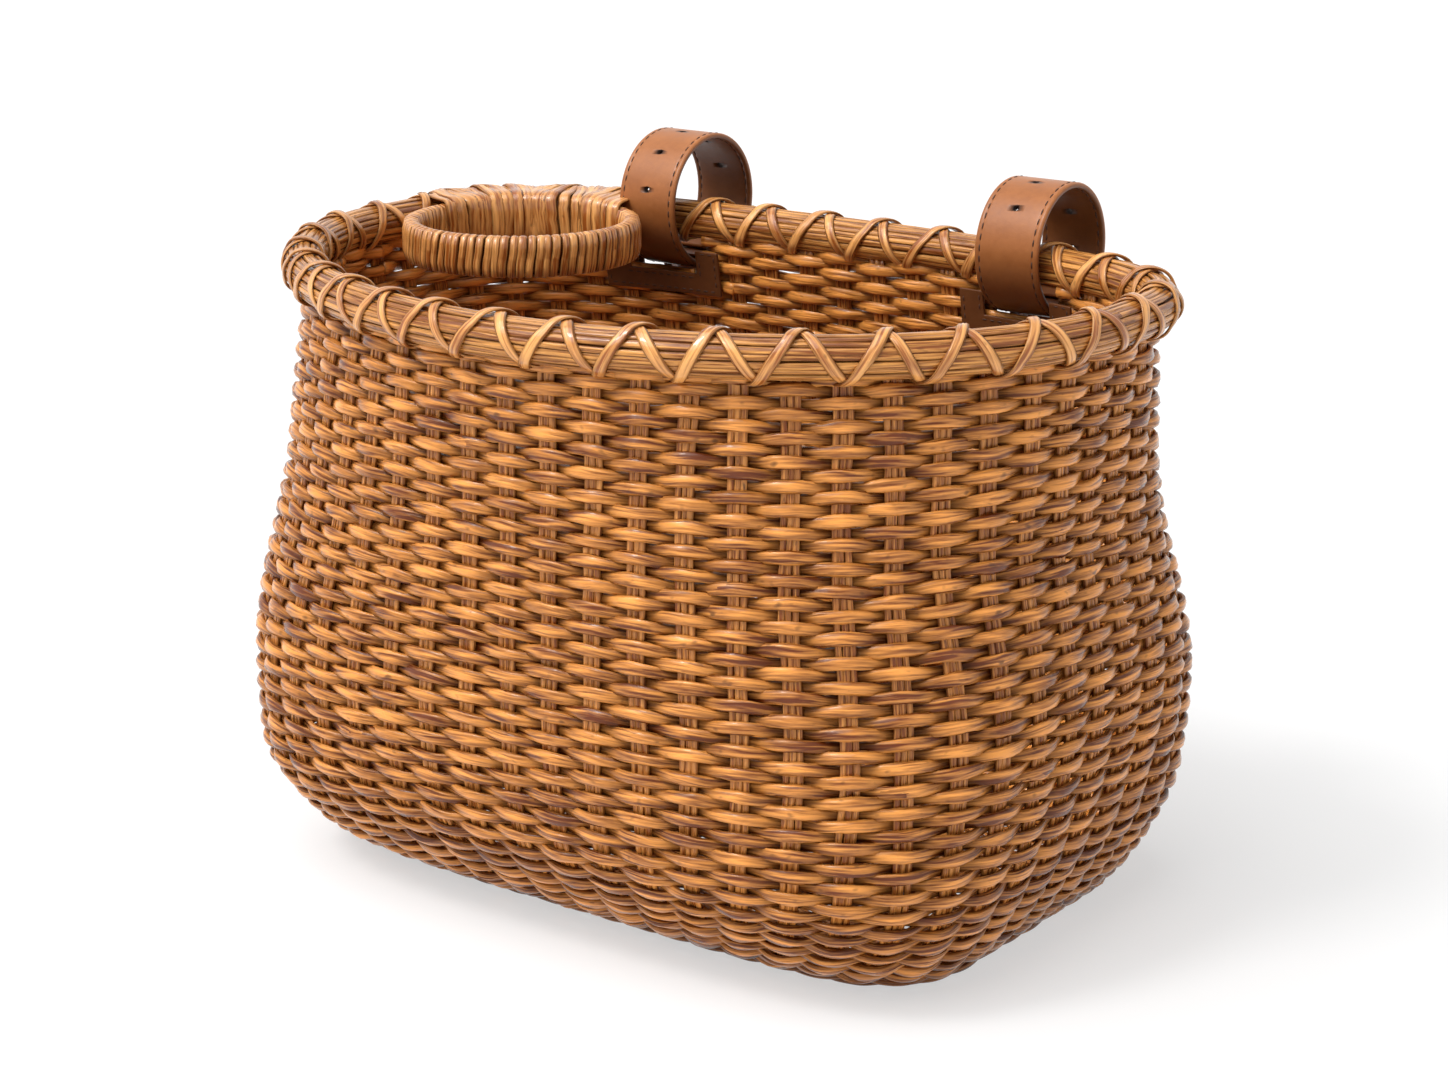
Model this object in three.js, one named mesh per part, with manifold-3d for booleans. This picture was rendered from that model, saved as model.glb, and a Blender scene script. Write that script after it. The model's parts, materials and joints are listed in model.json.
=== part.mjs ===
// A woven rattan bicycle basket: a bulging wall on a flat woven base, a laced rim, a wrapped cup
// ring tied into one corner, and two buckled leather straps that loop round the handlebar.
// Millimetres, +Z up, +X along the basket's length, the front towards -Y, the floor at z = 0.

import * as THREE from "three";
import { mergeVertices } from "three/addons/utils/BufferGeometryUtils.js";
import Module from "manifold-3d";

const wasm = await Module();
wasm.setup();

// Driving sizes of the rim. The rim is D-shaped: round in front and flatter behind.
const rimHalfLength = 180;
const rimFrontDepth = 141.5;
const rimBackDepth = 99.5;
const rimTop = 246.4;
const rimFrontRoundness = 1.91;
const rimBackRoundness = 3.34;
const bundleRadius = 7.7;
const coreRadius = 5.1;
const reedCount = 8;
const reedShoulderShare = 0.93;
const rimSteps = 48;

// Driving sizes of the woven wall, on its outside: the half length, the depth in front of the
// widest line and the depth behind it, at the foot, the turn above it, the hip, the belly and the
// neck. Each level's share is of the wall's height.
const wallThickness = 6.4;
const footHalfLength = 138.2;
const footFront = 68.5;
const footBack = 107.8;
const turnHalfLength = 155;
const turnFront = 99.1;
const turnBack = 109.6;
const hipHalfLength = 170.5;
const hipFront = 125.7;
const hipBack = 117.3;
const bellyHalfLength = 177.3;
const bellyFront = 133.4;
const bellyBack = 112.6;
const neckHalfLength = 169.1;
const neckFront = 133.4;
const neckBack = 102;
const wallStations = [
  { share: 0, halfLength: footHalfLength, front: footFront, back: footBack },
  { share: 0.086, halfLength: turnHalfLength, front: turnFront, back: turnBack },
  { share: 0.238, halfLength: hipHalfLength, front: hipFront, back: hipBack },
  { share: 0.454, halfLength: bellyHalfLength, front: bellyFront, back: bellyBack },
  { share: 0.736, halfLength: neckHalfLength, front: neckFront, back: neckBack },
];
const footFrontRoundness = 5.3;
const footBackRoundness = 6.2;
const bellyFrontRoundness = 3.23;
const bellyBackRoundness = 4.85;
const roundnessShare = 0.38;
const wallOutsideRimLine = 0.5;
const baseThickness = 5;

// Driving sizes of the weave's relief: how far it lies back beside a weaver that bows out over a
// group of stakes, the number of groups, and the rows that stand for the rows of weavers.
const weaveRelief = 3;
const stakeGroups = 52;
const weaveRows = 24;
const liningRows = 9;

// Driving sizes of the crossed lacing on the rim.
const laceWidth = 4;
const laceThickness = 0.9;
const lacePitch = 28.4;
const laceSteps = 8;
const laceTrim = 0.18;

// Driving sizes of the cup ring and the cane round it.
const ringOuterRadius = 48.2;
const ringHeight = 16.6;
const ringWidth = 7;
const ringBelowRimTop = 1.2;
const wrapThickness = 1;
const wrapWidth = 4.5;
const wrapTurns = 22;
const tieTurns = 12;
const tieHalfAngle = 51;
const tieWidth = 4.2;
const laceStopShare = 1.08;

// Driving sizes of the straps, the slots that they pass and the leather round each slot.
const strapPlace = 86;
const strapWidth = 28;
const strapThickness = 2.4;
const strapAxisBehindRim = 10;
const loopRadii = { left: 27, right: 25.2 };
const holeRadius = 1.5;
const holePitch = 16;
const holeCount = 7;
const usedHoleBack = 8;
const slotDepth = 10;
const slotSide = 2;
const patchMargin = 11;
const patchDrop = 9;
const patchThickness = 1.6;

// Driving sizes of the buckle and the keeper, with their places round the loop in degrees below
// the horizontal on the outer side.
const wireRadius = 1.3;
const frameCorner = 2.4;
const prongRadius = 0.8;
const prongSleeve = 3.4;
const sleeveWall = 0.9;
const foldCutSize = 7.6;
const heelAngle = 54;
const frontBarAngle = 14;
const foldLength = 6.5;
const keeperAngle = 78;
const keeperWidth = 5;
const keeperThickness = 1.3;
const tailAngle = 90;
const tailStepAngle = 21;
const tailStepBack = 3;

// The gap between pieces that touch, and what the leather keeps off the wall's flat facets.
const clearance = 0.3;
const facetSlack = 0.5;

const materials = {
  weave: { color: 0xa5693a, roughness: 0.5, metalness: 0 },
  rim: { color: 0xac7140, roughness: 0.45, metalness: 0 },
  lace: { color: 0xb47a45, roughness: 0.4, metalness: 0 },
  leather: { color: 0x7d4a2b, roughness: 0.6, metalness: 0 },
  metal: { color: 0xa58a54, roughness: 0.35, metalness: 1 },
};

const degrees = Math.PI / 180;
const up = new THREE.Vector3(0, 0, 1);

const basket = new THREE.Group();

// Adds a piece to the basket as its own named mesh.
function addPiece(name, geometry, look, parent = basket) {
  const mesh = new THREE.Mesh(geometry, new THREE.MeshStandardMaterial(materials[look]));
  mesh.name = name;
  parent.add(mesh);
  return mesh;
}

// The volume that a closed list of triangles holds, negative when its faces point inwards.
function signedVolume(points, triangles) {
  let six = 0;
  for (let i = 0; i < triangles.length; i += 3) {
    const [a, b, c] = triangles.slice(i, i + 3).map((k) => points[k]);
    six += a.dot(b.clone().cross(c));
  }
  return six / 6;
}

// A closed skin over rings of points. A closed run joins its last ring to its first, and an open
// run is capped at both ends. Each four-sided face is halved from its first corner to its third,
// or from its second to its fourth where the other way says so.
function skin(rings, closedRun, otherWay = () => false) {
  const around = rings[0].length;
  const points = rings.flat();
  const triangles = [];
  const spans = closedRun ? rings.length : rings.length - 1;
  for (let i = 0; i < spans; i += 1) {
    const next = (i + 1) % rings.length;
    for (let j = 0; j < around; j += 1) {
      const right = (j + 1) % around;
      const [a, b] = [i * around + j, i * around + right];
      const [c, d] = [next * around + right, next * around + j];
      triangles.push(...(otherWay(i, j) ? [a, b, d, b, c, d] : [a, b, c, a, c, d]));
    }
  }
  if (!closedRun) {
    const last = (rings.length - 1) * around;
    for (let j = 1; j < around - 1; j += 1) {
      triangles.push(0, j + 1, j);
      triangles.push(last, last + j, last + j + 1);
    }
  }
  if (signedVolume(points, triangles) < 0) triangles.reverse();
  const geometry = new THREE.BufferGeometry().setFromPoints(points);
  geometry.setIndex(triangles);
  return geometry;
}

// A geometry as a solid that can be cut or joined.
function solidOf(geometry) {
  const bare = new THREE.BufferGeometry();
  bare.setAttribute("position", geometry.getAttribute("position"));
  bare.setIndex(geometry.getIndex());
  const merged = mergeVertices(bare, 1e-4);
  return new wasm.Manifold(
    new wasm.Mesh({
      numProp: 3,
      vertProperties: merged.attributes.position.array,
      triVerts: new Uint32Array(merged.index.array),
    }),
  );
}

// A solid as a geometry again.
function geometryOf(solid) {
  const mesh = solid.getMesh();
  const geometry = new THREE.BufferGeometry();
  geometry.setAttribute("position", new THREE.BufferAttribute(mesh.vertProperties, 3));
  geometry.setIndex(new THREE.BufferAttribute(mesh.triVerts, 1));
  return geometry;
}

function cutAway(geometry, tools) {
  const cut = tools.reduce((solid, tool) => solid.subtract(solidOf(tool)), solidOf(geometry));
  return geometryOf(cut);
}

// A smooth curve through values at increasing places that never swings past its values.
function smoothThrough(places, values) {
  const slope = values.slice(1).map((v, i) => (v - values[i]) / (places[i + 1] - places[i]));
  const ease = values.map((_, i) => {
    if (i === 0) return slope[0];
    if (i === values.length - 1) return slope[i - 1];
    const [before, after] = [slope[i - 1], slope[i]];
    return before * after > 0 ? (2 * before * after) / (before + after) : 0;
  });
  return (place) => {
    const passed = places.filter((p) => p <= place).length - 1;
    const i = Math.min(Math.max(passed, 0), places.length - 2);
    const span = places[i + 1] - places[i];
    const t = (place - places[i]) / span;
    const rise = t * t * (3 - 2 * t);
    const bend = span * t * (1 - t) * ((1 - t) * ease[i] - t * ease[i + 1]);
    return values[i] * (1 - rise) + values[i + 1] * rise + bend;
  };
}

// The rim's centre line, and the height at which the wall stops under the lacing.
const rimLine = {
  halfLength: rimHalfLength - bundleRadius,
  front: rimFrontDepth - bundleRadius,
  back: rimBackDepth - bundleRadius,
  height: rimTop - bundleRadius,
};
const laceInside = (bundleRadius + clearance) / Math.cos(Math.PI / laceSteps);
const laceLift = laceThickness + 3 * clearance;
const laceOutside = laceInside + laceLift + laceThickness;
const wallTop = rimLine.height - laceOutside - clearance;
const slotFloor = wallTop - slotDepth;
const ringTop = rimTop - ringBelowRimTop;

// The point of an oval of rounded D shape at an angle: each half is a superellipse.
function ovalPoint(angle, oval) {
  const [c, s] = [Math.cos(angle), Math.sin(angle)];
  const roundness = s >= 0 ? oval.backRoundness : oval.frontRoundness;
  const depth = s >= 0 ? oval.back : oval.front;
  const x = oval.halfLength * Math.sign(c) * Math.abs(c) ** (2 / roundness);
  const y = depth * Math.sign(s) * Math.abs(s) ** (2 / roundness);
  return new THREE.Vector2(x, y);
}

// The oval as a closed run of points that lie evenly along its length.
function evenOval(oval, count) {
  const fine = 1440;
  const dense = Array.from({ length: fine + 1 }, (_, i) => ovalPoint((i / fine) * 2 * Math.PI, oval));
  const along = [0];
  for (let i = 1; i <= fine; i += 1) along.push(along[i - 1] + dense[i].distanceTo(dense[i - 1]));
  const total = along[fine];
  let k = 0;
  return Array.from({ length: count }, (_, i) => {
    const want = (i / count) * total;
    while (along[k + 1] < want) k += 1;
    const t = (want - along[k]) / (along[k + 1] - along[k]);
    return dense[k].clone().lerp(dense[k + 1], t);
  });
}

// The wall's stations, with its top tied to the rim's line.
const shares = [...wallStations.map((station) => station.share), 1];
function stationCurve(key) {
  const values = wallStations.map((station) => station[key]);
  return smoothThrough(shares, [...values, rimLine[key] + wallOutsideRimLine]);
}
const wallHalfLength = stationCurve("halfLength");
const wallFront = stationCurve("front");
const wallBack = stationCurve("back");
const roundnessShares = [0, roundnessShare, 1];
const frontRoundness = smoothThrough(
  roundnessShares,
  [footFrontRoundness, bellyFrontRoundness, rimFrontRoundness],
);
const backRoundness = smoothThrough(
  roundnessShares,
  [footBackRoundness, bellyBackRoundness, rimBackRoundness],
);

// The wall's oval at a height, drawn in from its outside by an amount.
function wallOval(height, inwards) {
  const share = height / wallTop;
  return {
    halfLength: wallHalfLength(share) - inwards,
    front: wallFront(share) - inwards,
    back: wallBack(share) - inwards,
    frontRoundness: frontRoundness(share),
    backRoundness: backRoundness(share),
  };
}

function ring3(points, height) {
  return points.map((p) => new THREE.Vector3(p.x, p.y, height));
}

// Heights of rows up the wall, closer together low down where the wall turns fastest.
function rowHeights(count, crowding) {
  return Array.from({ length: count }, (_, i) => wallTop * (i / (count - 1)) ** crowding);
}

// A level ring of the wall, drawn in from its outside by an amount.
function wallRing(height, inwards) {
  return ring3(evenOval(wallOval(height, inwards), stakeGroups), height);
}

// The wall: the outside from foot to top, then the inside back down, closed into one shell. On the
// outside a weaver bows out over every second group of stakes, and the next row over the others.
// The faces are halved between the deep points, so that each bow is a leaf with four faces. The
// inside has a row level with the top of the base, so that the two keep their clearance.
function wallShell() {
  const lastRow = weaveRows - 1;
  const isDeep = (row, group) => row > 0 && row < lastRow && (row + group) % 2 === 1;
  const outside = rowHeights(weaveRows, 1.25).map((z, row) => {
    const [bowed, deep] = [wallRing(z, 0), wallRing(z, weaveRelief)];
    return bowed.map((point, group) => (isDeep(row, group) ? deep[group] : point));
  });
  const aboveBase = rowHeights(liningRows, 1.45).filter((z) => z > baseThickness);
  const inside = [0, baseThickness, ...aboveBase].map((z) => wallRing(z, wallThickness));
  const outsideWay = (row, group) => row < lastRow && (row + group) % 2 === 0;
  return skin([...outside, ...inside.reverse()], true, outsideWay);
}

// How far behind the widest line an oval's back stands at a place along the basket.
function ovalBackAt(x, oval) {
  const share = Math.abs(x) / oval.halfLength;
  return oval.back * (1 - share ** oval.backRoundness) ** (1 / oval.backRoundness);
}
function wallBackAt(x, height, inwards) {
  return ovalBackAt(x, wallOval(height, inwards));
}

const sides = [
  { name: "left", x: -strapPlace, radius: loopRadii.left },
  { name: "right", x: strapPlace, radius: loopRadii.right },
];

// A box between two corners.
function boxBetween(low, high) {
  const size = new THREE.Vector3().subVectors(high, low);
  const middle = new THREE.Vector3().addVectors(high, low).multiplyScalar(0.5);
  return new THREE.BoxGeometry(size.x, size.y, size.z).translate(middle.x, middle.y, middle.z);
}

// The notch in the wall's top edge that a strap passes, as a tool for cutting.
const slotHalf = strapWidth / 2 + slotSide;
function slotTool(x) {
  const low = new THREE.Vector3(x - slotHalf, 0, slotFloor);
  const high = new THREE.Vector3(x + slotHalf, rimBackDepth + wallThickness * 2, rimTop);
  return boxBetween(low, high);
}

addPiece("wall_weave", cutAway(wallShell(), sides.map((side) => slotTool(side.x))), "weave");

// The base: a woven panel that fills the wall's foot.
function basePanel() {
  const inwards = wallThickness + 2 * clearance;
  return skin([0, baseThickness].map((z) => wallRing(z, inwards)), false);
}
addPiece("base_panel", basePanel(), "weave");

// The rim's stations: a point of its centre line with the level direction that faces outwards.
const rimOval = {
  ...rimLine,
  frontRoundness: rimFrontRoundness,
  backRoundness: rimBackRoundness,
};
const rimPoints = evenOval(rimOval, rimSteps);
const rimStations = rimPoints.map((point, i) => {
  const before = rimPoints[(i + rimSteps - 1) % rimSteps];
  const after = rimPoints[(i + 1) % rimSteps];
  const run = after.clone().sub(before).normalize();
  return {
    centre: new THREE.Vector3(point.x, point.y, rimLine.height),
    outwards: new THREE.Vector3(run.y, -run.x, 0),
  };
});
const rimLength = rimPoints.reduce((sum, p, i) => sum + p.distanceTo(rimPoints[(i + 1) % rimSteps]), 0);

// A place on the rim, counted in stations, on the same straight facets as the rim's own pieces.
function rimAt(station) {
  const whole = Math.floor(station);
  const [from, to] = [whole, whole + 1].map((k) => rimStations[((k % rimSteps) + rimSteps) % rimSteps]);
  const t = station - whole;
  return {
    centre: from.centre.clone().lerp(to.centre, t),
    outwards: from.outwards.clone().lerp(to.outwards, t).normalize(),
  };
}

// A point beside the rim's line, at a radius and an angle: 0 faces outwards and 90 up.
function besideRim(place, radius, angle) {
  return place.centre
    .clone()
    .addScaledVector(place.outwards, radius * Math.cos(angle))
    .addScaledVector(up, radius * Math.sin(angle));
}

// A closed skin along the rim whose section is given as radii and angles.
function alongRim(section) {
  const ringAt = (place) => section.map(([radius, angle]) => besideRim(place, radius, angle));
  return skin(rimStations.map(ringAt), true);
}

// The rim's bundle: a round core with flat reeds side by side round it.
const coreSides = 6;
const coreSection = Array.from({ length: coreSides }, (_, j) => [coreRadius, (j / coreSides) * 2 * Math.PI]);
addPiece("rim_core", alongRim(coreSection), "rim");
const reedAngle = (2 * Math.PI) / reedCount;
const reedInside = (coreRadius + clearance) / Math.cos(reedAngle / 2);
const reedShoulder = bundleRadius * reedShoulderShare;
for (let k = 0; k < reedCount; k += 1) {
  const middle = (k + 0.5) * reedAngle;
  const halfInside = reedAngle / 2 - clearance / 2 / reedInside;
  const halfOutside = reedAngle / 2 - clearance / 2 / reedShoulder;
  const section = [
    [reedInside, middle - halfInside],
    [reedShoulder, middle - halfOutside],
    [bundleRadius, middle],
    [reedShoulder, middle + halfOutside],
    [reedInside, middle + halfInside],
  ];
  addPiece(`rim_reed_${k + 1}`, alongRim(section), "rim");
}

// The straps' axis behind the widest line, and the left strap's corner that the ring keeps off.
const strapAxisBehind = ovalBackAt(strapPlace, rimOval) + strapAxisBehindRim;
const strapCorner = new THREE.Vector3(
  -strapPlace - strapWidth / 2,
  strapAxisBehind - loopRadii.left - strapThickness / 2,
  ringTop - ringHeight / 2,
);

// The cup ring sits against the bundle, from the rim's left end as far round to the back as the
// left strap allows.
function ringCentreAt(place) {
  return place.centre
    .clone()
    .addScaledVector(place.outwards, -(bundleRadius + 2 * clearance + ringOuterRadius))
    .setZ(ringTop - ringHeight / 2);
}
const clearOfStrap = (station) =>
  ringCentreAt(rimAt(station)).distanceTo(strapCorner) > ringOuterRadius + clearance;
const seatStep = 0.01;
let ringStation = rimSteps / 2;
while (clearOfStrap(ringStation - seatStep)) ringStation -= seatStep;
const ringPlace = rimAt(ringStation);
const ringCentre = ringCentreAt(ringPlace);
const ringFacing = Math.atan2(ringPlace.outwards.y, ringPlace.outwards.x);
const ringMiddleRadius = ringOuterRadius - ringWidth / 2;
const hoopHalfWidth = ringWidth / 2 - wrapThickness - clearance;
const hoopHalfHeight = ringHeight / 2 - wrapThickness - clearance;
const hoopCorner = 1.2;

// A point of the ring's section at an angle round the ring: outwards from its middle, and up.
function onRing(angle, outwards, height) {
  const radius = ringMiddleRadius + outwards;
  return new THREE.Vector3(
    ringCentre.x + radius * Math.cos(angle),
    ringCentre.y + radius * Math.sin(angle),
    ringCentre.z + height,
  );
}

// The eight corners of an oblong with its corners cut off.
function cutOblong(halfWidth, halfHeight, corner) {
  const [w, h] = [halfWidth - corner, halfHeight - corner];
  return [
    [halfWidth, -h], [halfWidth, h], [w, halfHeight], [-w, halfHeight],
    [-halfWidth, h], [-halfWidth, -h], [-w, -halfHeight], [w, -halfHeight],
  ];
}

const hoopSteps = 36;
const hoopSection = cutOblong(hoopHalfWidth, hoopHalfHeight, hoopCorner);
addPiece(
  "ring_hoop",
  skin(
    Array.from({ length: hoopSteps }, (_, i) =>
      hoopSection.map(([out, height]) => onRing((i / hoopSteps) * 2 * Math.PI, out, height)),
    ),
    true,
  ),
  "rim",
);

// The rings of a flat strip along a path. Each step gives the strip's point on what it lies on,
// the direction away from that, and the direction of its width.
function stripRings(steps, width, thickness) {
  return steps.map(({ point, away, across }) => {
    const corner = (w, h) => point.clone().addScaledVector(across, w).addScaledVector(away, h);
    return [
      corner(-width / 2, 0),
      corner(width / 2, 0),
      corner(width / 2, thickness),
      corner(-width / 2, thickness),
    ];
  });
}

// The least gap between a strip's turns, from the corners of each ring to those of the rings
// between half a turn and a turn and a half further on.
function leastGap(rings, perTurn) {
  let least = Infinity;
  rings.forEach((one, i) => {
    const later = rings.slice(i + Math.ceil(perTurn / 2), i + Math.ceil(perTurn * 1.5)).flat();
    one.forEach((corner) => {
      later.forEach((other) => {
        least = Math.min(least, corner.distanceTo(other));
      });
    });
  });
  return least;
}

// The cane round the cup ring, in two lengths that each wind half of it.
const wrapSection = cutOblong(ringWidth / 2 - wrapThickness, ringHeight / 2 - wrapThickness, hoopCorner);
const wrapPerTurn = wrapSection.length;
const wrapRest = wrapWidth / ringMiddleRadius;
const wrapGaps = [];
for (let half = 0; half < 2; half += 1) {
  const steps = Array.from({ length: wrapTurns * wrapPerTurn + 1 }, (_, i) => {
    const share = i / (wrapTurns * wrapPerTurn);
    const angle = half * Math.PI + wrapRest + share * (Math.PI - 2 * wrapRest);
    const [out, height] = wrapSection[i % wrapPerTurn];
    const point = onRing(angle, out, height);
    const corner = onRing(angle, Math.sign(out), Math.sign(height));
    const away = corner.sub(onRing(angle, 0, 0)).normalize();
    const across = new THREE.Vector3(-Math.sin(angle), Math.cos(angle), 0);
    return { point, away, across };
  });
  const rings = stripRings(steps, wrapWidth, wrapThickness);
  wrapGaps.push(leastGap(rings, wrapPerTurn));
  addPiece(`ring_wrap_${half + 1}`, skin(rings, false), "lace");
}

// The rim station nearest to a point, found on a fine count of places.
function nearestStation(point) {
  const fine = 20;
  let [best, least] = [0, Infinity];
  for (let k = 0; k < rimSteps * fine; k += 1) {
    const { centre } = rimAt(k / fine);
    const apart = Math.hypot(centre.x - point.x, centre.y - point.y);
    if (apart < least) [best, least] = [k / fine, apart];
  }
  return best;
}

// The tie that lashes the ring to the rim: each turn goes up inside the ring, over the bundle,
// down behind it and back under both. Each corner lies on the ring's section or at an angle on
// the bundle, and its away is the mix of outwards and up that points off it.
const tieReach = tieHalfAngle * degrees;
const tieRadius = (bundleRadius + clearance) / Math.cos(22.5 * degrees);
const tieInner = -ringWidth / 2 - clearance;
const tieHalf = ringHeight / 2 + clearance;
const tieSection = [
  { onRing: [tieInner, -tieHalf], away: [-1, -1] },
  { onRing: [tieInner, tieHalf], away: [-1, 1] },
  { onBundle: 112.5, away: [0, 1] },
  { onBundle: 67.5, away: [0.4, 1] },
  { onBundle: 22.5, away: [1, 0.4] },
  { onBundle: -22.5, away: [1, -0.4] },
  { onBundle: -67.5, away: [0.4, -1] },
  { onBundle: -112.5, away: [0, -1] },
  { onRing: [ringWidth / 2, -tieHalf], away: [0, -1] },
];
const tiePerTurn = tieSection.length;
const tieSteps = Array.from({ length: tieTurns * tiePerTurn + 1 }, (_, i) => {
  const along = (2 * i) / (tieTurns * tiePerTurn) - 1;
  const angle = ringFacing + along * tieReach;
  const facing = new THREE.Vector3(Math.cos(angle), Math.sin(angle), 0);
  const across = new THREE.Vector3(-Math.sin(angle), Math.cos(angle), 0);
  const corner = tieSection[i % tiePerTurn];
  const place = rimAt(nearestStation(onRing(angle, ringWidth / 2, 0)));
  const point = corner.onRing
    ? onRing(angle, ...corner.onRing)
    : besideRim(place, tieRadius, corner.onBundle * degrees);
  const away = facing.multiplyScalar(corner.away[0]).addScaledVector(up, corner.away[1]);
  return { point, away, across };
});
const tieRings = stripRings(tieSteps, tieWidth, wrapThickness);
addPiece("ring_tie", skin(tieRings, false), "lace");

// The lacing: two canes wind opposite ways, and the second rides over the first where they cross
// at the top and under the bundle. Each is made of two lengths, and none runs under the ring's tie.
const laceStop = tieReach * laceStopShare;
const tieFrom = nearestStation(onRing(ringFacing - laceStop, ringWidth / 2, 0));
const tieTo = nearestStation(onRing(ringFacing + laceStop, ringWidth / 2, 0));
const laceFrom = Math.max(tieFrom, tieTo);
const laceTo = Math.min(tieFrom, tieTo) + rimSteps;
const laceHalf = (laceTo - laceFrom) / 2;
const laceTurns = Math.round(((laceHalf / rimSteps) * rimLength) / lacePitch);
const [liftFrom, liftTo] = [0.1, 0.6];
const laceGaps = [];
for (const [letter, hand] of [["a", 1], ["b", -1]]) {
  for (let length = 0; length < 2; length += 1) {
    const start = laceFrom + length * laceHalf + laceTrim;
    const steps = Array.from({ length: laceTurns * laceSteps + 1 }, (_, i) => {
      const share = i / (laceTurns * laceSteps);
      const place = rimAt(start + share * (laceHalf - 2 * laceTrim));
      const angle = Math.PI / 2 + hand * share * laceTurns * 2 * Math.PI;
      const lift = THREE.MathUtils.smoothstep(Math.abs(Math.sin(angle)), liftFrom, liftTo);
      const radius = laceInside + (hand < 0 ? lift * laceLift : 0);
      const away = besideRim(place, 1, angle).sub(place.centre);
      const round = besideRim(place, 1, angle + Math.PI / 2).sub(place.centre);
      const forwards = new THREE.Vector3(-place.outwards.y, place.outwards.x, 0);
      const run = forwards
        .clone()
        .multiplyScalar(lacePitch)
        .addScaledVector(round, hand * 2 * Math.PI * laceInside);
      const across = run.normalize().cross(away).normalize();
      return { point: besideRim(place, radius, angle), away, across };
    });
    const rings = stripRings(steps, laceWidth, laceThickness);
    laceGaps.push(leastGap(rings, laceSteps));
    addPiece(`rim_lace_${letter}_${length + 1}`, skin(rings, false), "lace");
  }
}

// The leather round each slot: a sheet that follows the wall, with the slot cut out of it.
function patchSheet(x, inwards, thickness) {
  const columns = 7;
  const rows = 4;
  const low = slotFloor - patchDrop;
  const high = wallTop - clearance;
  const half = slotHalf + patchMargin;
  const rings = Array.from({ length: columns }, (_, i) => {
    const at = x - half + (i / (columns - 1)) * 2 * half;
    const face = (depth) =>
      Array.from({ length: rows }, (__, j) => {
        const z = low + (j / (rows - 1)) * (high - low);
        return new THREE.Vector3(at, wallBackAt(at, z, depth), z);
      });
    return [...face(inwards), ...face(inwards + thickness).reverse()];
  });
  return skin(rings, false);
}
for (const side of sides) {
  const inner = patchSheet(side.x, wallThickness + facetSlack, patchThickness);
  const outer = patchSheet(side.x, -facetSlack - patchThickness, patchThickness);
  addPiece(`slot_patch_${side.name}_inner`, cutAway(inner, [slotTool(side.x)]), "leather");
  addPiece(`slot_patch_${side.name}_outer`, cutAway(outer, [slotTool(side.x)]), "leather");
}

// The straps. Angles run from the outer side of the loop downwards, through the slot, up inside
// the basket and over the top, so that a turn and a bit brings the tail back over the buckle.
const layerStep = strapThickness + clearance;
const barInFold = wireRadius + clearance + strapThickness / 2;

// A point in the plane of a loop, from the loop's own centre.
function onLoop(radius, angle) {
  return new THREE.Vector2(radius * Math.cos(angle * degrees), -radius * Math.sin(angle * degrees));
}

// The strap's centre line: the folded end round the heel bar, one turn, the step out over the
// heel bar, and the tail.
function strapLine(radius) {
  const line = [];
  const foldAngle = foldLength / radius / degrees;
  const barCentre = onLoop(radius - barInFold, heelAngle);
  const returnSteps = 3;
  const [looseEnd, bendIn] = [0.1, 1.3];
  for (let i = 0; i <= returnSteps; i += 1) {
    const t = i / returnSteps;
    const depth = THREE.MathUtils.lerp(layerStep + looseEnd, 2 * barInFold, Math.min(1, t * bendIn));
    line.push(onLoop(radius - depth, heelAngle + foldAngle * (1 - t)));
  }
  const bendSteps = 6;
  for (let i = 1; i < bendSteps; i += 1) {
    const turn = (i / bendSteps) * 180 - 90;
    const outwards = onLoop(1, heelAngle).multiplyScalar(barInFold * Math.sin(turn * degrees));
    const backwards = onLoop(1, heelAngle - 90).multiplyScalar(barInFold * Math.cos(turn * degrees));
    line.push(barCentre.clone().add(outwards).add(backwards));
  }
  const stepEnd = 360 + heelAngle - tailStepBack;
  const stepStart = stepEnd - tailStepAngle;
  const turnSteps = 50;
  for (let i = 0; i <= turnSteps; i += 1) {
    const angle = heelAngle + (i / turnSteps) * (360 + tailAngle - heelAngle);
    const lift = THREE.MathUtils.smoothstep(angle, stepStart, stepEnd);
    line.push(onLoop(radius + lift * layerStep, angle));
  }
  return line;
}

// A band of even thickness along a line in the loop's plane, as wide as the strap along X.
function band(line, thickness, width) {
  const sideOf = (i) => {
    const run = line[Math.min(i + 1, line.length - 1)].clone().sub(line[Math.max(i - 1, 0)]).normalize();
    return new THREE.Vector2(-run.y, run.x);
  };
  const shift = (sign) => line.map((p, i) => p.clone().addScaledVector(sideOf(i), (sign * thickness) / 2));
  const outline = [...shift(1), ...shift(-1).reverse()];
  const shape = new THREE.Shape(outline);
  const flat = new THREE.ExtrudeGeometry(shape, { depth: width, bevelEnabled: false });
  const upright = new THREE.Matrix4().makeBasis(
    new THREE.Vector3(0, 1, 0),
    new THREE.Vector3(0, 0, 1),
    new THREE.Vector3(1, 0, 0),
  );
  return flat.applyMatrix4(upright).translate(-width / 2, 0, 0);
}

// A point of the loop's plane in the loop's own frame, at a place across the strap.
function inLoop(point, x) {
  return new THREE.Vector3(x, point.x, point.y);
}

// A round hole tool that points away from the loop's centre.
function holeTool(radius, angle, stretch) {
  const tool = new THREE.CylinderGeometry(holeRadius, holeRadius, strapThickness * 3, 10);
  tool.scale(1, 1, stretch);
  tool.rotateX(-angle * degrees);
  const middle = inLoop(onLoop(radius, angle), 0);
  return tool.translate(middle.x, middle.y, middle.z);
}

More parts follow.
